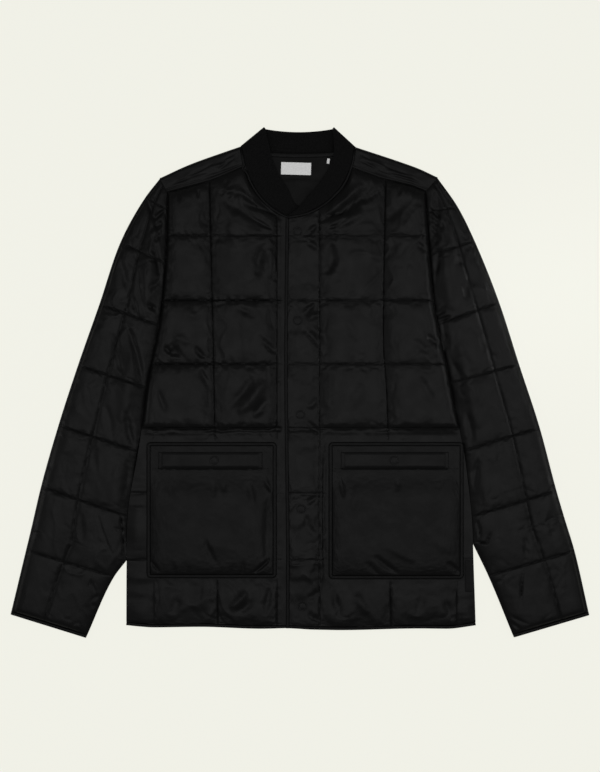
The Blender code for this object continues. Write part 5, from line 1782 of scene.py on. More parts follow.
@dataclass
class Sleeve:
    """A quilted sleeve: one wall that goes under, round the outer fold and back over the top."""

    side: Side
    pattern: Pattern
    under: float = 4.0
    hollow: float = 0.5
    wall: float = 3.0
    puff_height: float = 6.5
    radius: float = 3.75
    chamfer: float = 2.0
    seam_drop: float = 0.8
    fold_seam_reach: float = 4.0
    cuff_width: float = 5.0
    spacing: float = 3.8
    pull: float = 0.5
    pull_reach: float = 1.1
    gather: float = 0.5
    crumple_height: float = 1.0
    crease_gain: float = 1.4
    narrow: float = 1.6
    cuff_points: int = 14

    def __post_init__(self) -> None:
        """Lays out the grid round the sleeve."""
        self.rings = [SleeveRing(*row) for row in SLEEVE_RINGS[self.side]]
        self.line = 0.36 if self.side is Side.LEFT else 0.43
        outer = np.array([(ring.outer_x, ring.outer_y) for ring in self.rings])
        self.knots = travelled(outer)
        self.apex = next(k for k, ring in enumerate(self.rings) if ring.inner_x is not None)
        self.stitched = np.array([self.knots[k] for k, ring in enumerate(self.rings) if ring.stitched])
        self.top = self.under + self.hollow + self.wall
        self.lay_out()

    def edges(self, along: float) -> tuple:
        """The outer and the inner edge's plan points at this distance along the outer edge.

        Args:
            along: The distance from the shoulder.

        Returns:
            The outer and the inner place.
        """
        rings, knots = self.rings, self.knots
        outer = np.array([smooth(along, knots, column) for column in zip(*((r.outer_x, r.outer_y) for r in rings))])
        if along <= knots[self.apex]:
            y = smooth(along, knots[: self.apex + 1], [r.inner_y for r in rings[: self.apex + 1]])
            x = self.pattern.side_x(self.side, y) + self.side.sign * self.pattern.armhole_gap / 2
            x = x + (rings[self.apex].inner_x - x) * ramp(along, knots[self.apex - 1], knots[self.apex]) ** 3
        else:
            ends = zip(*((r.inner_x, r.inner_y) for r in rings[self.apex :]))
            x, y = (smooth(along, knots[self.apex :], column) for column in ends)
        return outer, np.array([float(x), float(y)])

    def puff(self, along: float, share: Array, width: float) -> Array:
        """The padding's rise at each share of the width from the outer edge.

        Args:
            along: How far down the outer edge the row lies.
            share: Shares of the width.
            width: The sleeve's width there.

        Returns:
            The rise over the wall.
        """
        rise = self.puff_height * groove(share * width, 7.0 + 8.0 * ramp(along, 160.0, 60.0))
        rise *= quilted((1 - share) * width, 0.0, 1.0, 14.0)
        for ring in self.stitched:
            rise *= quilted(along - ring, 0.07, 0.13, 6.0)
        rise *= groove(self.knots[-1] - self.cuff_width - along, 2.6)
        rise *= groove(along, self.pattern.seam_reach)
        return rise * quilted((share - self.line) * width, 0.12, 0.14, near=2.0)

    def lay_out(self) -> None:
        """Places the grid's outside and inside, row by row down the sleeve."""
        end = self.knots[-1] - self.cuff_width - self.pattern.seam_gap
        keys = np.array([*self.knots[:-1], end])
        self.along = along = part_way(keys, *spread(keys, self.spacing))
        self.ring_rows = [int(np.argmin(np.abs(along - ring))) for ring in self.stitched]
        under_count, first_count, last_count = 8, round(46 / self.spacing), round(66 / self.spacing)
        turns = np.radians(np.linspace(-90, 90, 9))
        slit, middle = self.hollow / 2, self.under + self.hollow / 2
        outside, inside = [], []
        for distance in along:
            outer, inner = self.edges(distance)
            across = inner - outer
            width = np.hypot(*across)
            across /= width
            start = self.radius / width
            under = np.linspace(width - self.chamfer, self.radius, under_count)[:-1]
            share = np.concatenate([
                start + (self.line - start) * np.linspace(0, 1, first_count + 1)[1:],
                self.line + (1 - self.line) * np.linspace(0, 1, last_count + 1)[1:],
            ])
            place = outer + across * (share * width)[:, None]
            rise = self.puff(distance, share, width)
            wide = [crease for crease in SLEEVE_CREASES if crease.half_width > self.narrow]
            folds = self.crease_gain * crease_rise(wide, *place.T)
            folds *= groove((1 - share) * width, self.fold_seam_reach)
            near_end = ramp(end - distance, 0.0, 10.0) * ramp(distance, 0.0, 10.0)
            top_z = self.top + rise + folds * near_end - self.seam_drop * eased(share * width, width - 3.0, width)
            at = np.concatenate([[width], under, self.radius * (1 - np.cos(turns)), share * width])
            z = np.concatenate([[self.chamfer], np.zeros(len(under)), self.top / 2 * (1 + np.sin(turns)), top_z])
            low_at = np.concatenate([[width], under, self.radius - slit * np.cos(turns), share * width])
            top_inside = np.full(len(share), self.under + self.hollow)
            low_z = np.concatenate([[self.under] * (1 + len(under)), middle + slit * np.sin(turns), top_inside])
            outside.append(np.column_stack([outer + across * at[:, None], z]))
            inside.append(np.column_stack([outer + across * low_at[:, None], low_z]))
        outside, self.inside = np.array(outside), np.array(inside)
        self.first_top = 1 + len(under) + len(turns)
        self.line_column = self.first_top + first_count - 1
        least = np.where(np.arange(outside.shape[1]) >= self.first_top - 1, self.top - 1.6, -1.0)
        least = np.broadcast_to(least, outside.shape[:2]) * 1.0
        outside[..., 2] = np.maximum(outside[..., 2], least)
        held = sewn_lines(outside.shape[:2], self.ring_rows, [self.line_column])
        held[:, : self.first_top - 3] = 1
        self.cloth = Cloth(f"quilted_sleeve_{self.side.word}", outside, self.inside, held, least)
        self.cloth.liveliness = 0.9 - 0.65 * ramp(along, end - 120.0, end - 70.0)[:, None]

    def build(self) -> None:
        """Makes the sleeve, its stitches and its cuff's binding."""
        outside = doubled(self.cloth.outside)
        along = doubled(np.repeat(self.along[:, None], 2, axis=1))[:, 0]
        first = 2 * self.first_top
        top = outside[:, first:-1]
        x, y = top[..., 0], top[..., 1]
        change = np.zeros(top.shape[:2])
        ripple = unevenness(x, y * 0.4, 7.0, 51.0)
        for ring in self.stitched:
            away = np.abs(along - ring)[:, None]
            change -= self.pull * dip(away, self.pull_reach)
            change += self.gather * ripple * np.exp(-away / 4.5) * (away > 0.5)
        line = outside[:, 2 * self.line_column, :2]
        away = np.linalg.norm(top[..., :2] - line[:, None], axis=2)
        change -= 1.8 * self.pull * dip(away, 1.8)
        change += 0.5 * self.gather * unevenness(x * 0.4, y, 6.0, 57.0) * np.exp(-away / 5.0)
        change += crease_rise([crease for crease in SLEEVE_CREASES if crease.half_width <= self.narrow], x, y)
        change += self.crumple_height * (crumple(x, y, 24.0, 121.0) - 0.7 * crumple(x, y, 14.0, 131.0))
        change[[0, -1]] = 0
        reach = eased(np.arange(top.shape[1]), 0, 6)
        top[..., 2] = np.maximum(top[..., 2] + change * reach, self.top - 1.9)
        outside[..., 2] = np.maximum(outside[..., 2], 0.0)
        word = self.side.word
        add_piece(self.cloth.name, closed_wall(outside, self.inside), Finishes.SHELL, f"sleeve_{word}")
        stitches = StitchRuns(f"stitches_sleeve_{word}")
        for row in self.ring_rows:
            stitches.sew(outside[2 * row, first:], 0.1)
        stitches.sew(outside[:, 2 * self.line_column], 0.1)
        stitches.build()
        self.build_cuff()

    def build_cuff(self) -> None:
        """The flat ring of tape round the cuff's opening."""
        slit, middle = self.hollow / 2, self.under + self.hollow / 2
        half_turn = np.linspace(0, 180, self.cuff_points)
        turns = np.radians(np.concatenate([270 - half_turn, 90 - half_turn]))
        outside, inside = [], []
        for share in np.linspace(0, 1, 9):
            outer, inner = self.edges(self.knots[-1] - self.cuff_width * (1 - share))
            across = inner - outer
            width = np.hypot(*across)
            across /= width
            swell = 0.8 * math.sin(math.pi * share)
            at = np.repeat([self.radius, width - self.radius], self.cuff_points)
            edge_lift = 0.35 * (abs(share - 0.5) * 2) ** 4
            level = self.top / 2 * (1 + np.sin(turns) * (1 - edge_lift * 0.3)) + swell * (np.sin(turns) > 0)
            low = middle + slit * np.sin(turns)
            for made, radius, height in ((outside, self.radius, level), (inside, slit, low)):
                made.append(np.column_stack([outer + across * (at + radius * np.cos(turns))[:, None], height]))
        outside, inside = np.array(outside), np.array(inside)
        outside[..., 2] = np.maximum(outside[..., 2], 0.0)
        rows, columns = outside.shape[:2]
        index = np.arange(2 * rows * columns).reshape(2, rows, columns)
        bands = [(layer[:-1], layer[1:]) for layer in index] + [(index[0, row], index[1, row]) for row in (0, -1)]
        faces = sum((band_faces(out, low) for out, low in bands), [])
        points = np.concatenate([outside.reshape(-1, 3), inside.reshape(-1, 3)])
        mesh = mesh_from(points, faces, np.tile(cut_places(outside).reshape(-1, 2), (2, 1)))
        add_piece(f"cuff_tape_{self.side.word}", mesh, Finishes.BINDING, f"cuff_binding_{self.side.word}")


# ---- back and yoke


@dataclass
class Back:
    """The back: a quilted slab whose underside lies flat but for the pulled-in quilting lines."""

    pattern: Pattern
    chamfer: float = 2.0
    spacing: float = 4.6
    pull: float = 1.3
    reach: float = 3.2
    uprights: tuple = (-126.0, 3.0, 129.0)

    def build(self) -> None:
        """Makes the back and the stitches along its quilting."""
        pattern = self.pattern
        top = pattern.yoke_back_seam_y - pattern.seam_gap
        side_foot = float(pattern.hem_y(pattern.hem_points[0][0]))
        shares = np.concatenate([[0.0], np.linspace(self.chamfer / 450, 1 - self.chamfer / 450, 101), [1.0]])
        levels = np.linspace(0, 1, round((top - side_foot) / self.spacing) + 1)
        grid = []
        for level in levels:
            side_y = side_foot + level * (top - side_foot)
            start = pattern.side_x(Side.RIGHT, side_y) + pattern.armhole_gap / 2
            end = pattern.side_x(Side.LEFT, side_y) - pattern.armhole_gap / 2
            x = start + (end - start) * shares
            foot = pattern.hem_y(x) + pattern.binding_width + pattern.seam_gap
            grid.append(np.stack([x, foot + level * (top - foot)], axis=1))
        plan = np.array(grid)
        fine = doubled(plan)
        x, y = fine[..., 0], fine[..., 1]
        low = np.zeros_like(x)
        for level in pattern.quilt_y:
            low = np.maximum(low, self.pull * np.exp(-np.abs(y - level) / self.reach))
        for upright in self.uprights:
            low = np.maximum(low, self.pull * np.exp(-np.abs(x - upright) / self.reach))
        wrinkle = np.maximum(0, unevenness(x * 0.6, y, 17.0, 61.0)) ** 2 * 0.9
        low += wrinkle * np.exp(-low) * 0.5
        for k, height in ((0, self.chamfer), (1, self.chamfer * 0.35)):
            low[:, k] = np.maximum(low[:, k], height)
            low[:, -1 - k] = np.maximum(low[:, -1 - k], height)
        underside = at_height(x, y, low)
        mesh = closed_wall(underside, at_height(*np.moveaxis(plan, 2, 0), pattern.back_thick))
        add_piece("quilted_back", mesh, Finishes.SHELL, "back_panel")
        stitches = StitchRuns("stitches_back")
        for level in pattern.quilt_y:
            row = x[int(np.argmin(np.abs(y[:, y.shape[1] // 2] - level)))]
            stitches.sew(at_height(row, np.full_like(row, level), self.pull), -0.25)
        for upright in self.uprights:
            run = np.linspace(y.min() + 6, y.max() - 3, 60)
            stitches.sew(at_height(np.full_like(run, upright), run, self.pull), -0.25)
        stitches.build()


@dataclass
class Yoke:
    """The yoke: across the back, over both shoulder folds and down to its seams on the fronts."""

    pattern: Pattern
    hollow: float = 0.5
    wall: float = 3.2
    puff_height: float = 0.6
    columns: int = 49
    under: int = 8
    turns: int = 9
    levels: int = 27
    middle: int = 58

    def shoulder(self, side: Side) -> list:
        """The columns over one shoulder, from the armhole to the neck, each with its outside and its inside.

        Args:
            side: Which shoulder.

        Returns:
            An outside and an inside line of points for each column.
        """
        pattern = self.pattern
        radius = (pattern.back_thick + self.hollow + self.wall) / 2
        slit = self.hollow / 2
        middle = pattern.back_thick + slit
        left = side is Side.LEFT
        fold = pattern.shoulder_left if left else pattern.shoulder_right
        seam = pattern.yoke_seam_left if left else pattern.yoke_seam_right
        neck = pattern.neck_edge(side, 80)
        shares = np.linspace(0, 1, self.columns)
        flip = -side.sign
        fold_x = np.interp(shares, [0, 1], [fold[0][0] + side.sign, fold[-1][0]])
        fold_y = smooth(flip * fold_x, [flip * x for x, _ in fold], [y for _, y in fold])
        seam_end = np.interp(-seam[-1][1], -neck[:, 1], neck[:, 0])
        neck_end = (seam[-1][1], fold[-1][1]), (seam_end, fold[-1][0])
        seam_x = np.interp(shares, [0, 1], [seam[0][0] + side.sign, seam_end])
        seam_y = np.interp(flip * seam_x, [flip * x for x, _ in seam], [y for _, y in seam]) + pattern.seam_gap
        back_start = pattern.side_x(side, pattern.yoke_back_seam_y) - side.sign * pattern.seam_gap / 2
        back_x = np.interp(shares, [0, 1], [back_start, fold[-1][0]])
        length = abs(fold[0][0] - fold[-1][0])
        made = []
        for k, share in enumerate(shares):
            top_edge = np.array([fold_x[k], fold_y[k]])
            seam_place = np.array([seam_x[k], seam_y[k]])
            down = (seam_place - top_edge) / np.hypot(*(seam_place - top_edge))
            back_foot = np.array([back_x[k], pattern.yoke_back_seam_y + pattern.seam_gap])
            puff = self.puff_height * groove(share * length, pattern.seam_reach)
            puff *= groove((1 - share) * length, pattern.seam_reach)
            centre = top_edge + down * radius
            out, inner = [], []
            near_fold = back_foot + (centre - back_foot) * (self.under - 2) / (self.under - 1)
            knee = seam_place + (near_fold - seam_place) * share
            for part in np.linspace(0, 1, self.under - 1):
                place = back_foot + (knee - back_foot) * part
                out.append((*place, 0.0))
                inner.append((*place, pattern.back_thick))
            for turn in np.radians(np.linspace(-90, 90, self.turns)):
                out.append((*(centre - down * radius * math.cos(turn)), radius * (1 + math.sin(turn))))
                inner.append((*(centre - down * slit * math.cos(turn)), middle + slit * math.sin(turn)))
            for level in np.linspace(0, 1, self.levels)[1:]:
                place = centre + (seam_place - centre) * level
                straight = np.interp(place[1], *neck_end)
                place[0] += share**3 * (np.interp(-place[1], -neck[:, 1], neck[:, 0]) - straight)
                rise = puff * math.sin(math.pi * level)
                free = math.sin(math.pi * level) ** 0.5
                free = free * groove(share * length, 6.0) * groove((1 - share) * length, 6.0)
                rise += 0.8 * float(crease_rise(YOKE_CREASES, *place)) * free
                rise += 0.35 * noise.noise(Vector((place[0] / 14, place[1] / 8, 71.0))) * free
                off = (1 - level) * np.hypot(*(seam_place - centre))
                edge = 0.8 * dip(off, 1.2) + 0.6 * dip(off - 4.7, 1.1)
                out.append((*place, 2 * radius + rise - edge))
                inner.append((*place, middle + slit))
            made.append((np.array(out), np.array(inner)))
        return made

    def build(self) -> None:
        """Makes the yoke and the double rows of stitches along its front seams."""
        pattern = self.pattern
        right = self.shoulder(Side.RIGHT)
        left = self.shoulder(Side.LEFT)[::-1]
        rows = len(right[0][0])
        centre = []
        for x in np.linspace(pattern.shoulder_right[-1][0], pattern.shoulder_left[-1][0], self.middle)[1:-1]:
            foot = pattern.yoke_back_seam_y + pattern.seam_gap
            head = pattern.back_neck(x) - pattern.seam_gap
            y = foot + (head - foot) * np.minimum(np.arange(rows) / (self.under - 1), 1.0)
            flat = at_height(np.full_like(y, x), y, 0.0)
            centre.append((flat, flat + (0.0, 0.0, pattern.back_thick)))
        columns = [*right, *centre, *left]
        cells = np.ones((len(columns) - 1, rows - 1), bool)
        cells[len(right) - 1 : len(right) + len(centre), self.under - 1 :] = False
        outside, inside = (np.array([column[k] for column in columns]) for k in (0, 1))
        add_piece("yoke_cloth", even_wall(outside, inside, cells), Finishes.SHELL, "yoke")
        stitches = StitchRuns("stitches_yoke")
        for group in (right, left):
            for share in (0.1, 0.22):
                line = np.array([out[-1] + (out[-3] - out[-1]) * share * 3 for out, _ in group])
                line[:, 2] = [out[-2][2] for out, _ in group]
                stitches.sew(line, 0.08)
        stitches.build()


# ---- the collar


@dataclass
class Collar:
    """The rib-knit collar, one band: up the right front, along the back and down the left front."""

    pattern: Pattern
    wall: float = 3.2
    fold_radius: float = 4.0
    back_dip: float = 4.4
    pitch: float = 2.6
    rib_depth: float = 0.5
    edge_round: float = 0.5
    shares: tuple = (0, 0.03, 0.08, 0.16, 0.28, 0.4, 0.52, 0.64, 0.76, 0.86, 0.93, 0.975, 1)
    right: tuple = (
        (-84.9, 344.4, -50.4, 372.6, 4.8), (-82, 328.5, -46.2, 352, 7.1), (-78, 313, -42.6, 335.5, 7.4),
        (-72.8, 300, -38.6, 323, 7.4), (-63.4, 282.5, -32.5, 308.5, 7.4), (-50, 266.5, -25.5, 297, 7.4),
        (-34.6, 254.8, -18, 284.5, 7.4), (-18.6, 247, -7, 263, 7.4), (-6, 247.6, 0, 258.5, 7.4),
    )
    left: tuple = (
        (78.9, 343.6, 47.4, 372.6, 4.8), (76.6, 329, 49.6, 353, 7.1), (73.8, 317, 49.8, 339, 7.4),
        (69, 305, 46, 326, 7.4), (61, 290, 40.5, 311.5, 7.8), (49, 275.6, 34.5, 302, 8.6),
        (35, 263.8, 27.5, 292.5, 10), (19, 254.4, 18, 280.5, 10.9), (2, 247.8, 7, 267, 10.9),
        (-17.6, 244.6, -2.2, 257.7, 10.9),
    )

    def across(self, neck: Array, free: Array) -> Array:
        """Places across the band, from its neck edge to its free edge."""
        return neck + (free - neck) * np.array(self.shares)[:, None]

    def front(self, rows: tuple, count: int) -> list:
        """Sections down one front, each with its upper and its lower face.

        Args:
            rows: The front's neck and free edges and its height, from the shoulder down.
            count: How many sections to make.

        Returns:
            The sections, from the shoulder down.
        """
        shares = np.array(self.shares)
        made = []
        for row in run_through(rows, count):
            places = self.across(row[:2], row[2:4])
            width = np.hypot(*(row[2:4] - row[:2]))
            edge = np.minimum(shares, 1 - shares) * width
            full = self.wall * (1 - 0.25 * np.exp(-edge / self.edge_round))
            made.append((at_height(*places.T, row[4] + full), at_height(*places.T, row[4])))
        return made

    def fold(self, row: tuple, count: int) -> list:
        """Sections round the fold at one end of the back.

        Args:
            row: The front's first row, where the fold starts.
            count: How many sections to make.

        Returns:
            The sections, from the front to the back.
        """
        neck, free = np.array(row[:2]), np.array(row[2:4])
        along = (free - neck) / np.hypot(*(free - neck))
        outward = np.array([along[1], -along[0]]) * math.copysign(1, row[0])
        places = self.across(neck, free)
        made = []
        for turn in np.linspace(0, math.pi, count + 2)[1:-1]:
            made.append([
                at_height(*(places + outward * radius * math.sin(turn)).T, self.fold_radius + radius * math.cos(turn))
                for radius in (self.fold_radius, self.fold_radius - self.wall)
            ])
        return made

    def back(self, count: int) -> list:
        """Sections along the back.

        Args:
            count: How many.

        Returns:
            The sections, each an outer and an inner line.
        """
        start, end = np.array(self.right[0]), np.array(self.left[0])
        made = []
        for share in np.linspace(0, 1, count):
            neck_x, _, free_x, _, _ = start + (end - start) * share
            neck = np.array([neck_x, float(self.pattern.back_neck(neck_x))])
            free = np.array([free_x, start[3] - self.back_dip * 4 * share * (1 - share)])
            made.append([at_height(*self.across(neck, free).T, height) for height in (0.0, self.wall)])
        return made

    def build(self) -> None:
        """Makes the band, ribbed on both faces."""
        sections = [
            *self.front(self.right, 214)[::-1],
            *self.fold(self.right[0], 18),
            *self.back(240),
            *self.fold(self.left[0], 18)[::-1],
            *self.front(self.left, 220),
        ]
        outside, inside = (np.array([section[k] for section in sections]) for k in (0, 1))
        middle = (outside + inside)[:, len(self.shares) // 2] / 2
        x, y = outside[..., 0], outside[..., 1]
        phase = travelled(middle)[:, None] / self.pitch + 0.1 * unevenness(x, y, 13.0, 81.0)
        rib = 1 - np.abs(np.sin(math.pi * phase))
        inward = inside - outside
        inward /= np.linalg.norm(inward, axis=2)[..., None]
        carved = (self.rib_depth * rib**0.8)[..., None]
        slack = 0.25 * (1 + unevenness(x, y, 21.0, 83.0))[..., None]
        slack[:, [0, -1]] = 0
        outside = outside + inward * (carved + slack * (outside[..., 2:] > 4.5))
        inside = inside - inward * carved * 0.8
        add_piece("rib_band", even_wall(outside, inside), Finishes.RIB, "rib_collar", sharp=75.0)


# ---- the trim


@dataclass(frozen=True)
class Patch:
    """A small flat piece of cloth that lies on another, with soft edges and a slight wave."""

    name: str
    node: str
    finish: Finish
    wave: float = 0.12
    edge: float = 0.45
    spacing: float = 0.9

    def build(self, tilt: float = 0.0, size: tuple | None = None) -> None:
        """Makes the patch in its solid's place.

        Args:
            tilt: How far it is turned, in degrees.
            size: Its width and length where they aren't those of the solid's box.
        """
        low, high = (np.array(corner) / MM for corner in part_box(self.node))
        centre = (low + high) / 2
        width, length = (high - low)[:2] if size is None else size
        thick = high[2] - low[2]
        rows, columns = (max(6, round(side / self.spacing)) for side in (length, width))
        x, y = np.meshgrid(np.linspace(-0.5, 0.5, columns) * width, np.linspace(-0.5, 0.5, rows) * length)
        rim = np.minimum(width / 2 - np.abs(x), length / 2 - np.abs(y))
        full = thick * (1 - 0.4 * np.exp(-rim / self.edge))
        full -= self.wave * thick * (0.5 + 0.5 * unevenness(x, y, 9.0, 91.0))
        turn = math.radians(tilt)
        turned_x = centre[0] + x * math.cos(turn) - y * math.sin(turn)
        turned_y = centre[1] + x * math.sin(turn) + y * math.cos(turn)
        mesh = even_wall(at_height(turned_x, turned_y, low[2] + full), at_height(turned_x, turned_y, low[2]))
        add_piece(self.name, mesh, self.finish, self.node)


@dataclass(frozen=True)
class Snap:
    """A pressed snap cap: a flat disc with a rolled rim and a slightly domed middle.

    Each of its steps sets the top's edge in and raises what is left of it, both in metres.
    """

    name: str
    node: str
    steps: tuple = (
        (0.0006, 0.0), (0.0006, -0.0001), (0.0003, -0.00045), (0.0004, 0.0), (0.0012, 0.0002), (0.0016, 0.00012),
    )

    def build(self) -> None:
        """Makes the cap in its solid's place."""
        low, high = (Vector(corner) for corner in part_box(self.node))
        size = {"radius": (high.x - low.x) / 2, "depth": high.z - low.z, "location": (low + high) / 2}
        bpy.ops.object.select_all(action="DESELECT")
        bpy.ops.mesh.primitive_cylinder_add(vertices=48, **size)
        cap = bpy.context.object
        cap.name = cap.data.name = self.name
        bpy.ops.object.transform_apply(location=True, rotation=True, scale=True)
        bpy.ops.object.mode_set(mode="EDIT")
        bpy.ops.mesh.select_mode(type="FACE")
        bpy.ops.mesh.select_all(action="DESELECT")
        bpy.ops.object.mode_set(mode="OBJECT")
        max(cap.data.polygons, key=lambda face: face.center.z).select = True
        bpy.ops.object.mode_set(mode="EDIT")
        for inset, rise in self.steps:
            bpy.ops.mesh.inset(thickness=inset, depth=0.0)
            bpy.ops.transform.translate(value=(0.0, 0.0, rise))
        bpy.ops.mesh.poke()
        bpy.ops.object.mode_set(mode="OBJECT")
        rim = cap.modifiers.new("rim", "BEVEL")
        rim.width, rim.segments, rim.limit_method, rim.angle_limit = 0.0006, 3, "ANGLE", math.radians(50)
        bpy.ops.object.modifier_apply(modifier=rim.name)
        bpy.ops.object.shade_smooth_by_angle(angle=math.radians(40))
        keep_piece(cap, Finishes.SNAP, self.node)


@dataclass
class Trim:
    """The bindings of the neck, the front edge and the hem, and the small pieces."""

    pattern: Pattern
    right: Front
    left: Front
    neck_top_y: float = 347.0
    lining_half: float = 72.0
    lining_foot: float = 208.0
    tape_width: float = 6.6
    tape_height: float = 1.4
    tape_half: float = 60.0

    def build_neck_binding(self, front: Front) -> None:
        """The bar along the neck seam, between the collar's edge and the front's edge.

        Args:
            front: The front that it is sewn to.
        """
        pattern = self.pattern
        width = pattern.neck_binding_width
        curve = pattern.neck_edge(front.side, 40)
        on_front = front.inside[0, :, :2]
        first = int(np.argmax(on_front[:, 1]))
        curve = np.concatenate([curve[:1] + (curve[:1] - curve[1:2]) * 1.5, curve])
        above = curve[(curve[:, 1] > on_front[first, 1] + width) & (curve[:, 1] < self.neck_top_y)]
        edge = np.concatenate([above, on_front[first:]])
        path = moved_left(edge, -front.side.sign * (pattern.seam_gap + width / 2))
        base = front.inside_z(*edge.T) - 4.5 * eased(edge[:, 1], 332.0, 346.0)
        path, word = at_height(*path.T, base), front.side.word
        Tape(f"neck_tape_{word}", f"neck_binding_{word}", path, width, front.binding_height(edge[:, 0])).build()

    def build_placket_binding(self, stitches: StitchRuns) -> None:
        """The bar down the bound edge of the left front.

        Args:
            stitches: The runs that its stitches join.
        """
        pattern, front = self.pattern, self.left
        y = front.inside[:, -1, 1]
        edge_x = pattern.front_edge_x(-360.0)
        y = np.concatenate([y[:-1], [pattern.hem_y(edge_x) + 0.2]])
        x = pattern.front_edge_x(y)
        path, sizes = at_height(x, y, front.inside_z(x, y)), (pattern.binding_width, pattern.binding_height + 0.2)
        Tape("placket_tape", "placket_binding", path, *sizes).build(stitches, (0.3,))

    def build_hem_bindings(self, stitches: StitchRuns) -> None:
        """The bars along the hem of the back and of each front.

        Args:
            stitches: The runs that their stitches join.
        """
        pattern = self.pattern
        width = pattern.binding_width
        for front in (self.right, self.left):
            x = front.inside[-1, :, 0]
            y = pattern.hem_y(x) + width / 2
            path, word = at_height(x, y, front.inside_z(x, y)), front.side.word
            tape = Tape(f"hem_tape_{word}", f"hem_binding_{word}", path, width, front.binding_height(x))
            tape.build(stitches, (-0.3 * front.side.sign,))
        ends = [float(pattern.side_x(side, -360.0)) - side.sign * pattern.seam_gap for side in Side]
        x = np.linspace(min(ends), max(ends), 60)
        path = at_height(x, pattern.hem_y(x) + width / 2, 0.0)
        Tape("hem_tape_back", "hem_binding_back", path, width, pattern.back_thick, ripple=0.0).build()

    def build_lining(self) -> None:
        """The lining where the neck opening shows it, with the curved seam of the back facing."""
        pattern = self.pattern
        base = pattern.back_thick + pattern.layer_gap
        x, level = np.meshgrid(np.linspace(-1, 1, 61) * self.lining_half, np.linspace(0, 1, 51))
        head = pattern.back_neck(x) - self.tape_width - 3 * pattern.seam_gap
        y = self.lining_foot + level * (head - self.lining_foot)
        free = eased(np.minimum(self.lining_half - np.abs(x), y - self.lining_foot), 0, 6)
        folds = crease_rise(LINING_CREASES, x, y) - 0.6 * dip(y - 300.0 + 0.0016 * x**2, 1.6)
        folds = np.clip(folds, -0.8, 0.9) * free * (1 - eased(y, 300.0, 303.0))
        folds -= 0.5 * dip(y - 302.0 - 0.0012 * x**2, 1.3)
        mesh = even_wall(at_height(x, y, base + pattern.lining_thick + folds), at_height(x, y, base))
        add_piece("neck_lining", mesh, Finishes.LINING, "back_lining")

    def build(self) -> None:
        """Makes every piece of trim."""
        pattern = self.pattern
        stitches = StitchRuns("stitches_trim")
        for front in (self.right, self.left):
            self.build_neck_binding(front)
        self.build_placket_binding(stitches)
        self.build_hem_bindings(stitches)
        self.build_lining()
        x = np.linspace(-self.tape_half, self.tape_half, 40)
        y = pattern.back_neck(x) - self.tape_width / 2 - 2 * pattern.seam_gap
        path, sizes = at_height(x, y, pattern.back_thick + pattern.layer_gap), (self.tape_width, self.tape_height)
        Tape("neck_tape_back", "back_neck_tape", path, *sizes, ripple=0.05).build(stitches, (-0.32,))
        Patch("neck_patch", "neck_label", Finishes.LABEL).build(-1.5, (44.0, 18.0))
        Patch("size_patch", "size_tag", Finishes.LABEL, spacing=0.5).build(-8.0, (3.8, 7.4))
        Patch("side_tab_cloth", "side_tab", Finishes.TAB).build()
        stitches.build()
        for number in range(1, 6):
            Snap(f"cap_{number}", f"snap_{number}").build()
        for side in Side:
            Snap(f"cap_pocket_{side.word}", f"pocket_snap_{side.word}").build()


# ---- the flat cuts


@dataclass(frozen=True)
class Cut:
    """What a piece of cloth was cut to, in metres, and the pieces that go with it."""

    piece: str
    width: float
    length: float
    area: float
    rests_on: tuple
    carries: tuple = ()
    held: str = "laid"

    def declare(self) -> None:
        """Does nothing: the cut is only kept here as figures."""


CUTS = (
    Cut("quilted_back", 0.513, 0.622, 0.282, ("floor",), ("stitches_back", "hem_tape_back")),
    Cut(
        "quilted_front_right", 0.274, 0.676, 0.155, ("quilted_back",),
        ("stitches_front_right", "neck_tape_right", "hem_tape_right"),
    ),
    Cut(
        "quilted_front_left", 0.279, 0.678, 0.156, ("quilted_back", "quilted_front_right"),
        (
            "stitches_front_left", "neck_tape_left", "hem_tape_left", "placket_tape", "stitches_trim",
            "cap_1", "cap_2", "cap_3", "cap_4", "cap_5",
        ),
    ),
    Cut("yoke_cloth", 0.412, 0.124, 0.0355, ("quilted_back",), ("stitches_yoke",), "folded"),
    Cut("quilted_sleeve_right", 0.33, 0.676, 0.14, ("floor",), ("stitches_sleeve_right", "cuff_tape_right")),
    Cut("quilted_sleeve_left", 0.33, 0.676, 0.138, ("floor",), ("stitches_sleeve_left", "cuff_tape_left")),
    Cut("rib_band", 0.044, 0.416, 0.0148, ("yoke_cloth",), (), "folded"),
    Cut(
        "patch_pocket_right", 0.181, 0.19, 0.0343, ("quilted_front_right",),
        ("pocket_tape_right", "stitches_pocket_right"),
    ),
    Cut(
        "patch_pocket_left", 0.188, 0.191, 0.0358, ("quilted_front_left",),
        ("pocket_tape_left", "stitches_pocket_left"),
    ),
    Cut("welt_right", 0.1525, 0.0245, 0.00373, ("patch_pocket_right",), ("cap_pocket_right",)),
    Cut("welt_left", 0.158, 0.0245, 0.00387, ("patch_pocket_left",), ("cap_pocket_left",)),
    Cut("neck_lining", 0.145, 0.127, 0.018, ("quilted_back",), ("neck_tape_back", "size_patch")),
    Cut("neck_patch", 0.044, 0.018, 0.00079, ("neck_lining",)),
    Cut("side_tab_cloth", 0.011, 0.046, 0.0005, ("quilted_front_left",)),
)

# ---- the studio


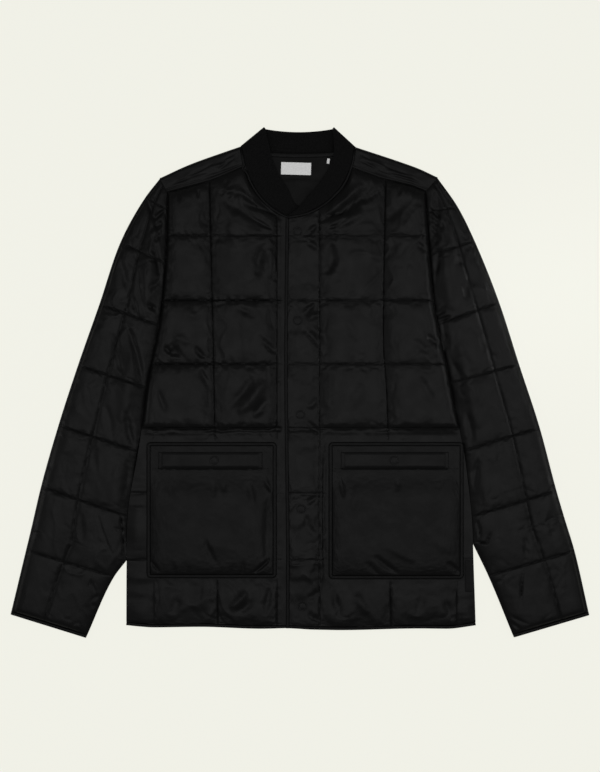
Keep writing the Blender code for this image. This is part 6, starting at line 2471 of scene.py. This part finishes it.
@dataclass(frozen=True)
class AreaLight:
    """A soft rectangular light that points at a place, as bright all over as its radiance."""

    name: str
    place: tuple
    target: tuple
    size: tuple
    radiance: float
    spread: float = 180.0

    def build(self) -> None:
        """Makes the light, unseen by the camera."""
        light = bpy.data.lights.new(self.name, "AREA")
        light.shape = "RECTANGLE"
        light.size, light.size_y = self.size
        narrow = math.sin(math.radians(self.spread / 2)) ** 2
        light.energy = self.radiance * math.pi * self.size[0] * self.size[1] * narrow
        light.spread = math.radians(self.spread)
        lamp = link(bpy.data.objects.new(self.name, light))
        lamp.location = self.place
        lamp.rotation_euler = (Vector(self.target) - Vector(self.place)).to_track_quat("-Z", "Y").to_euler()
        lamp.visible_camera = False


@dataclass(frozen=True)
class Studio:
    """A pale floor, soft light from above and a camera that looks straight down."""

    camera_height: float = 4.0
    across: float = 0.882
    look_y: float = -0.0047
    world_light: float = 0.25
    lights: tuple = (
        AreaLight("overhead", (0.13, 0.0, 2.8), (0.0, 0.0, 0.0), (1.52, 2.8), 2.0),
        AreaLight("left_bank", (-0.88, 0.0, 0.62), (-0.22, 0.0, 0.0), (0.5, 1.5), 0.26, 60.0),
        AreaLight("right_bank", (0.88, 0.0, 0.62), (0.22, 0.0, 0.0), (0.5, 1.5), 0.16, 60.0),
        AreaLight("left_rim", (-1.3, 0.0, 0.08), (-0.4, 0.0, 0.02), (0.12, 1.7), 4.0),
        AreaLight("right_rim", (0.9, 0.0, 0.05), (0.4, 0.0, 0.02), (0.08, 1.5), 6.0),
        AreaLight("glint", (0.8, 0.28, 0.42), (0.35, 0.13, 0.0), (0.2, 0.3), 6.5, 30.0),
    )

    def build(self) -> None:
        """Makes the floor, the lights and the camera."""
        scene = bpy.context.scene
        bpy.ops.object.select_all(action="DESELECT")
        bpy.ops.mesh.primitive_plane_add(size=8.0, location=(0.0, 0.0, 0.0))
        floor = bpy.context.object
        floor.name = floor.data.name = "floor"
        Finishes.wear(floor, Finishes.FLOOR)
        for light in self.lights:
            light.build()
        world = bpy.data.worlds.new("room")
        world.use_nodes = True
        for name, value in (("Color", (1.0, 1.0, 1.0, 1.0)), ("Strength", self.world_light)):
            world.node_tree.nodes["Background"].inputs[name].default_value = value
        scene.world = world
        scene.view_settings.view_transform = "Standard"
        lens = bpy.data.cameras.new("camera")
        lens.sensor_fit = "HORIZONTAL"
        lens.sensor_width = 36.0
        lens.lens = 36.0 * self.camera_height / self.across
        lens.clip_end = 20.0
        scene.camera = link(bpy.data.objects.new("camera", lens))
        scene.camera.location = (0.0, self.look_y, self.camera_height)


# ---- the jacket


def main() -> None:
    """Builds the jacket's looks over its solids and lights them."""
    logging.basicConfig(level=logging.INFO, format="%(name)s: %(message)s")
    pattern = Pattern()
    fronts = [Front(side, pattern) for side in Side]
    pockets = [Pocket(POCKETS[side], pattern) for side in Side]
    sleeves = [Sleeve(side, pattern) for side in Side]
    padded = (*fronts, *pockets, *sleeves)
    ClothBench([part.cloth for part in padded]).settle()
    for part in (*padded, Back(pattern), Yoke(pattern), Collar(pattern), Trim(pattern, *fronts), Studio()):
        part.build()
    for cut in CUTS:
        cut.declare()


if __name__ == "__main__":
    main()
